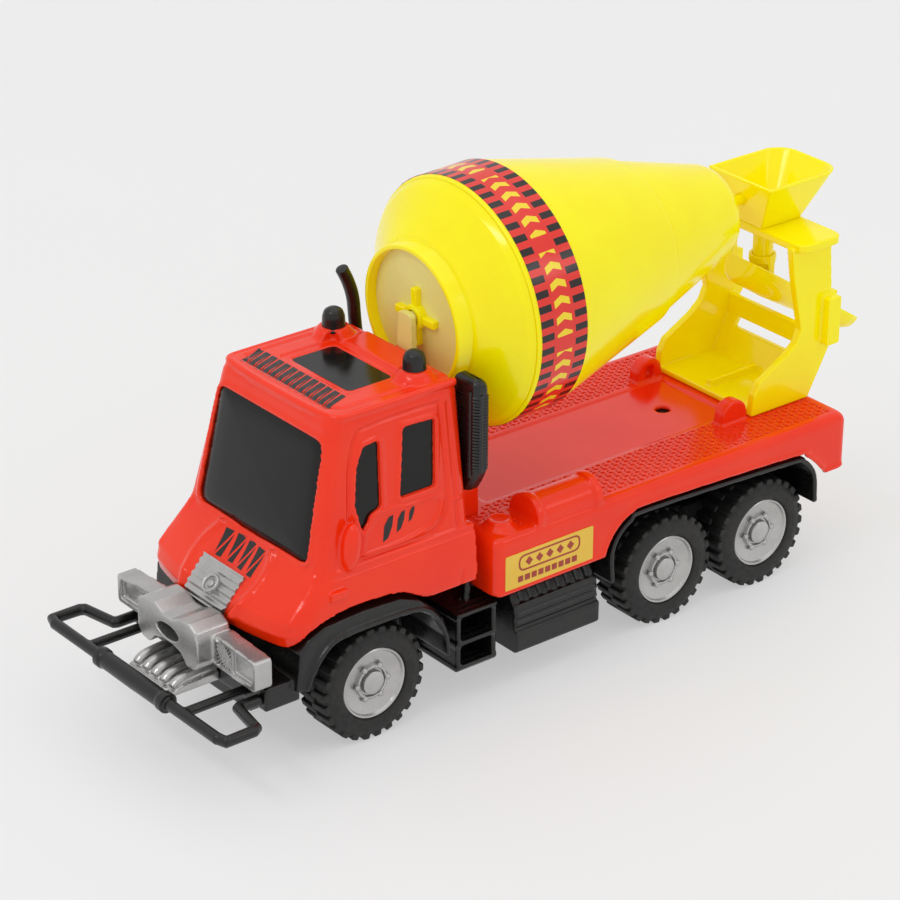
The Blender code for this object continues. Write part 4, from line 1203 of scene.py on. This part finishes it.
def bed_arch():
    """The opening over both rear wheels, as (y, z)."""
    front = AXLE_Y["middle"]
    rear = AXLE_Y["rear"]
    path = [(front - 34.5, 38.0), (front - 33.6, 43.0), (front - 29.0, 49.6), (front - 22.0, 53.4), (front - 12.0, 54.2)]
    path += [(rear + 8.4, 51.3), (rear + 16.0, 49.0), (rear + 21.0, 45.0), (rear + 25.5, 40.1)]
    return [(front - 34.6, 34.0)] + smooth_path(path, 4) + [(rear + 25.6, 34.0)]


def add_bed():
    """The red bed, open below, with a sunk middle panel, lugs, tank, cap and hole."""
    levels = [(SKIRT_BOTTOM, 0.6), (SKIRT_BOTTOM + 0.8, 0.0), (DECK_Z - 3.0, 0.0), (DECK_Z - 1.5, 0.45)]
    levels += [(DECK_Z - 0.5, 1.4), (DECK_Z, 2.8)]
    steps = cut(loft([bed_ring(z, 2.0) for z in (SKIRT_BOTTOM - 6, DECK_Z - 2.2)]))
    steps += cut(prism(bed_arch(), "X", -60, 60))
    panel = rectangle(19.5, -30.0, 85.5)
    steps += cut(prism(rounded(panel, 1.0), "Z", DECK_Z - 0.6, DECK_Z + 5))
    for side in (-1, 1):
        top = arc((81.0, DECK_Z + 2.6), 6.0, 180, 0, 20)
        lug_outline = [(75.0, DECK_Z - 1.0)] + top + [(87.0, DECK_Z - 1.0)]
        steps += add(prism(lug_outline, "X", *sorted((side * 20.5, side * 25.5))))
        steps += cut(box(sorted((side * 18.0, side * 23.4)), (79.0, 83.0), (DECK_Z + 0.8, DECK_Z + 5.6)))
    steps += deck_tank()
    cap = [(-1, 0), (-1, 5.6), (1.0, 5.6), (1.2, 4.5), (3.0, 4.4), (3.2, 3.4), (2.6, 3.0), (2.6, 0)]
    cap = [(DECK_Z + rise, radius) for rise, radius in cap]
    steps += add(moved(lathe(cap, "Z", 32), (36.0, -37.5, 0)))
    hole = [(DECK_Z - 5, 0), (DECK_Z - 5, 2.7), (DECK_Z + 3, 2.7), (DECK_Z + 3, 0)]
    steps += cut(moved(lathe(hole, "Z", 24), (0, 69, 0)))
    bed = carved("bed_body", loft([bed_ring(*level) for level in levels]), steps, RED, 0.55, 3)
    edge = []
    for side in (-1, 1):
        edge.append([(side * (BED_HALF - 0.4), y, z) for y, z in ((-44.0, 40.3), (2.4, 40.6))])
        edge.append([(side * BED_HALF, y, z + 0.8) for y, z in bed_arch()[2:-2]])
        edge.append([(side * BED_HALF, 110.5, 40.6), (side * BED_HALF, 118.0, 40.6)])
    edge.append([(-42.0, BED_REAR_Y, 40.4), (42.0, BED_REAR_Y, 40.4)])
    emboss(bed, edge, 1.4, 0.6)
    stands_for(bed, "truck", "red_plastic", "bed_shell")
    add_tread()
    add_labels()


def deck_tank():
    """The half-round tank on the left of the deck, with a strap at each end."""
    steps = []
    for low, high, grow in ((-25.5, 1.0, 0.0), (-26.8, -23.6, 1.0), (-0.8, 2.4, 1.0)):
        centre = (36.0, DECK_Z + 0.5)
        outline = [(28.0 - grow, DECK_Z - 1.0)] + arc(centre, 7.4 + grow, 180, 0, 24)
        outline.append((44.0 if grow else 43.4, DECK_Z - 1.0))
        steps += add(prism(outline, "Y", low, high))
    return steps


def add_tread():
    """Low lens-shaped studs in rows that lean left and right in turn, over the deck's strips."""
    bm = bmesh.new()
    pitch_x, pitch_y = 1.75, 2.5
    rows = int((BED_REAR_Y - BED_FRONT_Y - 8) / pitch_y)
    columns = int(2 * (BED_HALF - 4) / pitch_x)
    for i in range(rows):
        for j in range(columns):
            x = -(BED_HALF - 4) + (j + 0.5) * pitch_x
            y = BED_FRONT_Y + 4 + (i + 0.5) * pitch_y
            if deck_is_plain(x, y):
                continue
            lean = 0.5 if (i + j) % 2 else -0.5
            stud(bm, x, y, DECK_Z - 0.05, lean)
    tread = add_object("deck_tread", bm, RED, None)
    stands_for(tread, "truck", "red_plastic")


def deck_is_plain(x, y):
    """Where the deck has no studs: its middle panel, and under the pieces that stand on it."""
    if abs(x) < 20.4 and y < 88.0:
        return True
    if 26.0 < x < 45.0 and -28.5 < y < 4.0:
        return True
    if math.hypot(x - 36.0, y + 37.5) < 6.6:
        return True
    if 19.0 < abs(x) < 27.0 and 75.0 < y < 87.0:
        return True
    if abs(x) < 26.0 and 88.5 < y < 118.5:
        return True
    return abs(x) < 25.0 and y < -34.0


def stud(bm, x, y, z, lean):
    length, width, height = 1.2, 0.48, 0.5
    along = Vector((math.sin(lean), math.cos(lean), 0))
    across = Vector((along.y, -along.x, 0))
    centre = Vector((x, y, z))
    rim = [centre + along * length, centre + across * width, centre - along * length, centre - across * width]
    base = [bm.verts.new(point * MM) for point in rim]
    crest = [bm.verts.new((centre + along * 0.45 + Vector((0, 0, height))) * MM)]
    crest.append(bm.verts.new((centre - along * 0.45 + Vector((0, 0, height))) * MM))
    bm.faces.new((base[0], crest[0], base[1]))
    bm.faces.new((base[1], crest[0], crest[1]))
    bm.faces.new((base[1], crest[1], base[2]))
    bm.faces.new((base[2], crest[1], base[3]))
    bm.faces.new((base[3], crest[1], crest[0]))
    bm.faces.new((base[3], crest[0], base[0]))
    bm.faces.new((base[0], base[1], base[2], base[3]))


def add_labels():
    """A yellow sticker on each side, with a plain outlined panel and dashes on it."""
    for side, word in ((1, "left"), (-1, "right")):
        x = side * BED_HALF
        corners = [(-41.7, 41.2), (-2.7, 41.2), (-2.7, 54.2), (-41.7, 54.2)]
        sheet = prism(rounded(corners, 0.6), "X", *sorted((x, x + side * 0.25)))
        label = add_object(f"side_label_sheet_{word}", sheet, LABEL, 30)
        stands_for(label, "truck", "label_sticker", f"side_label_{word}")
        shapes = bmesh.new()
        face = sorted((x + side * 0.1, x + side * 0.36))
        ring = rounded([(-36.0, 46.9), (-8.6, 46.9), (-8.6, 53.0), (-36.0, 53.0)], 2.8, 8)
        inner = rounded([(-35.4, 47.5), (-9.2, 47.5), (-9.2, 52.4), (-35.4, 52.4)], 2.3, 8)
        bm = bmesh.new()
        loops = [[bm.verts.new(Vector((depth, y, z)) * MM) for y, z in loop] for loop in (ring, inner) for depth in face]
        order = [loops[0], loops[1], loops[3], loops[2]]
        for first, second in zip(order, order[1:] + order[:1]):
            for i in range(len(first)):
                j = (i + 1) % len(first)
                bm.faces.new((first[i], first[j], second[j], second[i]))
        bmesh.ops.recalc_face_normals(bm, faces=bm.faces)
        join_into(shapes, bm)
        for k in range(5):
            y = -31.4 + k * 4.6
            diamond = [(y - 1.6, 50.0), (y, 48.3), (y + 1.6, 50.0), (y, 51.7)]
            join_into(shapes, prism(diamond, "X", *face))
        for k in range(9):
            y = -34.6 + k * 3.0
            join_into(shapes, box(face, (y - 1.6, y + 0.6), (43.0, 45.2)))
        print_obj = add_object(f"side_label_print_{word}", shapes, BADGE, 30)
        stands_for(print_obj, "truck", "label_sticker")


def add_front_support():
    """The red block behind the cab, and the pale tip that holds the drum."""
    foot = DECK_Z - 0.2
    rings = []
    for z, inset in ((foot, 0.0), (86.0, 0.4), (87.6, 1.0), (88.2, 2.4)):
        outline = rectangle(24 - inset, -48.2 + inset, -36.0 - inset)
        rings.append([(x, y, z) for x, y in rounded(outline, 2.0)])
    post = [(-16.0, 80.0), (16.0, 80.0), (4.5, 118.0), (-4.5, 118.0)]
    steps = add(prism(post, "Y", -50.5, -47.9))
    support = carved("drum_support_block", loft(rings), steps, RED, 0.5, 2)
    stands_for(support, "truck", "red_plastic", "drum_front_support")
    tip = rounded([(-4.2, 117.6), (4.2, 117.6), (3.4, 131.4), (-3.4, 131.4)], 1.6)
    spindle = on_drum_line(lathe([(-151.0, 0), (-151.0, 2.2), (-143.8, 2.2), (-143.8, 0)], "Y", 24))
    holder = carved("drum_support_tip", prism(tip, "Y", -50.4, -48.0), add(spindle), CREAM, 0.3, 2)
    stands_for(holder, "truck", "yellow_plastic")


# ---- air intake and exhaust --------------------------------------------------------------------
def add_air_intake():
    """A flat column with fine ribs on its faces, a rounded mouth and a tail that narrows down."""
    middle = Vector((32.7, -47.7, 0))
    rows = []
    count = 180
    for k in range(count + 1):
        z = 78.0 + 41.6 * k / count
        wide = 6.2
        deep = 2.9
        if z < 86.0:
            wide = 6.2 * (0.22 + 0.78 * ((z - 78.0) / 8.0) ** 0.8)
        if z > 115.6:
            fall = math.sqrt(max(0.0, 1 - ((z - 115.6) / 4.01) ** 2))
            wide = 6.2 - 2.2 * (1 - fall)
            deep = 0.4 + 2.5 * fall
        rib = 0.35 * math.cos((z - 87.0) * 2 * math.pi / 2.3) if 87.0 < z < 114.0 else 0.0
        corners = [(-wide, -deep), (wide - 1.6, -deep), (wide, -deep + 1.6)]
        corners += [(wide, deep - 1.2), (wide - 1.2, deep), (-wide, deep)]
        ring = rounded(corners, 0.5, 2)
        rows.append([(middle.x + x + math.copysign(rib, x), middle.y + y + math.copysign(rib, y), z) for x, y in ring])
    column = add_object("air_intake_column", loft(rows), BLACK, 60)
    stands_for(column, "truck", "black_plastic", "air_intake")
    rail = bmesh.new()
    join_into(rail, tube([(middle.x + 3.0, -50.4, 84.0), (middle.x + 3.0, -50.4, 115.6)], 0.9, 12))
    join_into(rail, tube([(38.4, middle.y - 0.6, 86.0), (38.4, middle.y - 0.6, 114.6)], 0.9, 12))
    obj = add_object("air_intake_rail", rail, BLACK, 60)
    stands_for(obj, "truck", "black_plastic")


def add_exhaust():
    """A tall pipe behind the cab that bends forwards at its top."""
    path = [(-28.5, -43.2, DECK_Z + 0.2), (-29.5, -45.6, 90.0), (-30.4, -48.0, 116.0)]
    path += [(-30.7, -48.8, 126.0), (-31.0, -50.6, 132.5), (-31.2, -53.2, 138.0)]
    pipe = tube(smooth_path(path, 10), 2.3, 24)
    obj = add_object("exhaust_stack", pipe, BLACK, 40)
    bevel(obj, 0.5, 50)
    finish_mesh(obj, BLACK, 40)
    stands_for(obj, "truck", "black_plastic", "exhaust_pipe")


# ---- rear frame, hopper and chute ----------------------------------------------------------------
def side_plate_outline():
    """The side view of the rear frame, as (y, z)."""
    base = DECK_Z + 0.2
    top = BRIDGE_Z + 1
    front = [(88.5, base), (89.2, 70.0), (91.5, 74.2), (104.0, 81.0)]
    front += [(109.0, 85.0), (111.3, 90.0), (106.5, 111.8), (104.8, top)]
    rear = [(124.2, top), (126.0, 102.0), (129.0, 101.3), (129.8, 84.3), (126.7, 80.5), (116.5, base)]
    return front + rear


def add_rear_frame():
    """Two side plates on a tray, a slotted back, and a bridge with the spout."""
    base = DECK_Z + 0.2
    inside = FRAME_HALF - 1.0
    steps = []
    for side in (-1, 1):
        steps += add(prism(side_plate_outline(), "X", *between(side, FRAME_HALF - 3.0, FRAME_HALF)))
        boss = rounded([(121.5, 82.0), (127.8, 82.0), (127.8, 100.5), (121.5, 100.5)], 0.8)
        steps += add(prism(boss, "X", *between(side, FRAME_HALF - 1.0, FRAME_HALF + 3.5)))
    back = [(114.5, base + 0.6), (117.0, base + 0.6), (124.6, 77.0), (124.6, 85.0), (122.4, 85.0), (122.4, 77.5)]
    steps += add(prism(back, "X", -inside, inside))
    steps += cut(prism(rounded([(-18, 73.3), (18, 73.3), (18, 77.0), (-18, 77.0)], 0.6), "Y", 112, 130))
    steps += add(box((-1.2, 1.2), (91.5, 115.0), (base + 1.0, base + 4.4)))
    bridge = rounded([(-30.5, 105.7), (30.5, 105.7), (30.5, 126.5), (-30.5, 126.5)], 5.0)
    steps += add(prism(bridge, "Z", BRIDGE_Z, BRIDGE_Z + 3.0))
    steps += add(spout_pipe(3.8, 101.5, BRIDGE_Z + 1))
    steps += cut(spout_pipe(SPOUT_BORE, 95.0, BRIDGE_Z + 8))
    tray = box((-inside, inside), (88.6, 116.4), (base, base + 2.2))
    frame_piece = carved("rear_frame_moulding", tray, steps, YELLOW, 0.4, 2)
    stands_for(frame_piece, "truck", "yellow_plastic", "rear_frame")


def spout_pipe(radius, low, high):
    profile = [(low, 0), (low, radius), (high, radius), (high, 0)]
    return moved(lathe(profile, "Z", 32), (*SPOUT, 0))


def d_outline(half, front, back, steps=12):
    """A plan outline with a flat front and well rounded rear corners."""
    bend = half * 0.55
    outline = [(-half, front), (half, front)]
    outline += arc((half - bend, back - bend), bend, 0, 90, steps)
    return outline + arc((bend - half, back - bend), bend, 90, 180, steps)


def hopper_shape(inset, low, high):
    rows = []
    foot = BRIDGE_Z + 3.0
    for z in (low, high):
        rise = (z - foot) / (HOPPER_TOP - foot)
        half = 9.0 + 7.5 * rise - inset
        front = 106.0 - 3.8 * rise + inset
        back = 128.5 + 10.5 * rise - inset
        rows.append([(x, y, z) for x, y in d_outline(half, front, back)])
    return loft(rows)


def add_hopper():
    """A funnel with a hole to the spout and one in front for the pin."""
    foot = BRIDGE_Z + 3.0
    steps = cut(hopper_shape(1.4, foot + 2.0, HOPPER_TOP + 4), spout_pipe(SPOUT_BORE, foot - 3, foot + 5))
    steps += cut(on_drum_line(lathe([(-2, 0), (-2, 2.3), (9, 2.3), (9, 0)], "Y", 24)))
    hopper = carved("hopper_funnel", hopper_shape(0.0, foot, HOPPER_TOP), steps, YELLOW, 0.35, 2)
    stands_for(hopper, "truck", "yellow_plastic", "hopper")


def trough_ring(along, half, depth, lip=0.0):
    angles = [math.pi * i / 20 for i in range(21)]
    bottom = [(half * math.cos(a), -depth * math.sin(a)) for a in angles]
    if lip:
        bottom = [(half, lip)] + bottom + [(-half, lip)]
    return [(x, along, z) for x, z in bottom]


def on_chute_line(bm):
    """Tilts a shape that lies along Y to the chute's slope, below the spout."""
    return moved(turned(bm, -CHUTE_SLOPE, "X"), (*SPOUT, CHUTE_RIM_Z))


def add_chute():
    """A trough with two cheeks and a collar round the spout."""
    tip = (CHUTE_TIP_Y - SPOUT[1]) / math.cos(math.radians(CHUTE_SLOPE)) - 2.5
    outside = [(-13.4, 6.6, 8.0), (-12.0, 7.8, 9.2), (6.0, 8.0, 9.4), (tip - 20, 6.6, 8.0)]
    outside += [(tip - 6, 5.8, 7.0), (tip - 1.5, 4.4, 5.6), (tip - 0.1, 3.0, 4.4)]
    hollow = [(-12.2, 5.0, 6.6), (-11.0, 6.4, 7.8), (6.0, 6.6, 8.0), (tip - 20, 5.2, 6.6)]
    hollow += [(tip - 7, 4.4, 5.6), (tip - 1.8, 1.8, 2.8)]
    steps = cut(on_chute_line(loft([trough_ring(*section, lip=5.0) for section in hollow])))
    for side in (-1, 1):
        steps += add(moved(box(sorted((side * 4.1, side * 5.1)), (-1.6, 1.6), (-5.0, 6.0)), (*SPOUT, CHUTE_RIM_Z)))
    collar = lathe([(3.4, 4.0), (3.4, 5.1), (6.4, 5.1), (6.4, 4.0)], "Z", 36, ring=True)
    steps += add(moved(collar, (*SPOUT, CHUTE_RIM_Z)))
    trough = on_chute_line(loft([trough_ring(*section) for section in outside]))
    chute = carved("chute_trough", trough, steps, YELLOW, 0.35, 2)
    stands_for(chute, "chute", "yellow_plastic", "chute")


# ---- camera, floor and light -----------------------------------------------------------------------
CAMERA_AZIMUTH = 51.24
CAMERA_ELEVATION = 26.14
CAMERA_ROLL = 0.353
CAMERA_PLACE = (0.8066, -0.6779, 0.5818)
CAMERA_LENS = 133.08


def camera_axes():
    a = math.radians(CAMERA_AZIMUTH)
    e = math.radians(CAMERA_ELEVATION)
    back = Vector((math.sin(a) * math.cos(e), -math.cos(a) * math.cos(e), math.sin(e)))
    right = Vector((math.cos(a), math.sin(a), 0))
    return right, back.cross(right), back


def add_camera():
    right, up, back = camera_axes()
    roll = math.radians(CAMERA_ROLL)
    rolled_right = right * math.cos(roll) + up * math.sin(roll)
    rolled_up = up * math.cos(roll) - right * math.sin(roll)
    matrix = Matrix((rolled_right, rolled_up, back)).transposed().to_4x4()
    matrix.translation = Vector(CAMERA_PLACE)
    data = bpy.data.cameras.new("camera")
    data.sensor_width = 36.0
    data.lens = CAMERA_LENS
    data.clip_start = 0.05
    data.clip_end = 20.0
    camera = bpy.data.objects.new("camera", data)
    camera.matrix_world = matrix
    bpy.context.scene.collection.objects.link(camera)
    bpy.context.scene.camera = camera


def add_floor():
    """A wide pale floor that gives some light of its own, so that shadows stay pale."""
    bm = bmesh.new()
    corners = [(-6, -6, 0), (6, -6, 0), (6, 6, 0), (-6, 6, 0)]
    bm.faces.new([bm.verts.new(corner) for corner in corners])
    nodes = Nodes("studio_floor")
    tone = nodes.remap(nodes.noise(3.0), 0.3, 0.7, 0.0, 1.0)
    nodes.link(nodes.blend(tone, linear(172, 172, 172), linear(171, 171, 171)), nodes.shader.inputs["Base Color"])
    nodes.link(nodes.blend(tone, linear(178, 178, 178), linear(177, 177, 177)), nodes.shader.inputs["Emission Color"])
    nodes.socket("Emission Strength", 1.0)
    nodes.socket("Roughness", 0.7)
    nodes.socket("Specular IOR Level", 0.2)
    floor = add_object("studio_floor", bm, nodes.material, None)


def add_area_light(name, place, target, size, power):
    data = bpy.data.lights.new(name, "AREA")
    data.shape = "RECTANGLE"
    data.size, data.size_y = size
    data.energy = power
    light = bpy.data.objects.new(name, data)
    light.location = place
    light.rotation_euler = (Vector(target) - Vector(place)).to_track_quat("-Z", "Y").to_euler()
    bpy.context.scene.collection.objects.link(light)


def add_lights():
    """A narrow key light, a wide top light, a small fill and a white world."""
    target = (0.0, 0.0, 0.06)
    right, _, back = camera_axes()
    add_area_light("key", Vector((0, 0, 0.9)) + back * 0.9 - right * 0.75, target, (0.75, 0.16), 3.4)
    add_area_light("top", (0.0, 0.1, 1.7), target, (1.8, 1.8), 5.0)
    add_area_light("fill", Vector((0, 0, 0.7)) + right * 1.5 + back * 0.6, target, (0.5, 0.5), 1.2)
    world = bpy.data.worlds.new("studio")
    world.use_nodes = True
    background = world.node_tree.nodes["Background"]
    background.inputs["Color"].default_value = (1.0, 1.0, 1.0, 1.0)
    background.inputs["Strength"].default_value = 0.78
    bpy.context.scene.world = world
    bpy.context.scene.view_settings.view_transform = "Standard"


add_camera()
add_floor()
add_lights()
add_wheels()
add_drum()
add_cab()
add_glazing()
add_beacons()
add_grille()
add_bumper()
add_skid_plate()
add_bull_bar()
add_chassis()
add_bed()
add_front_support()
add_air_intake()
add_exhaust()
add_rear_frame()
add_hopper()
add_chute()
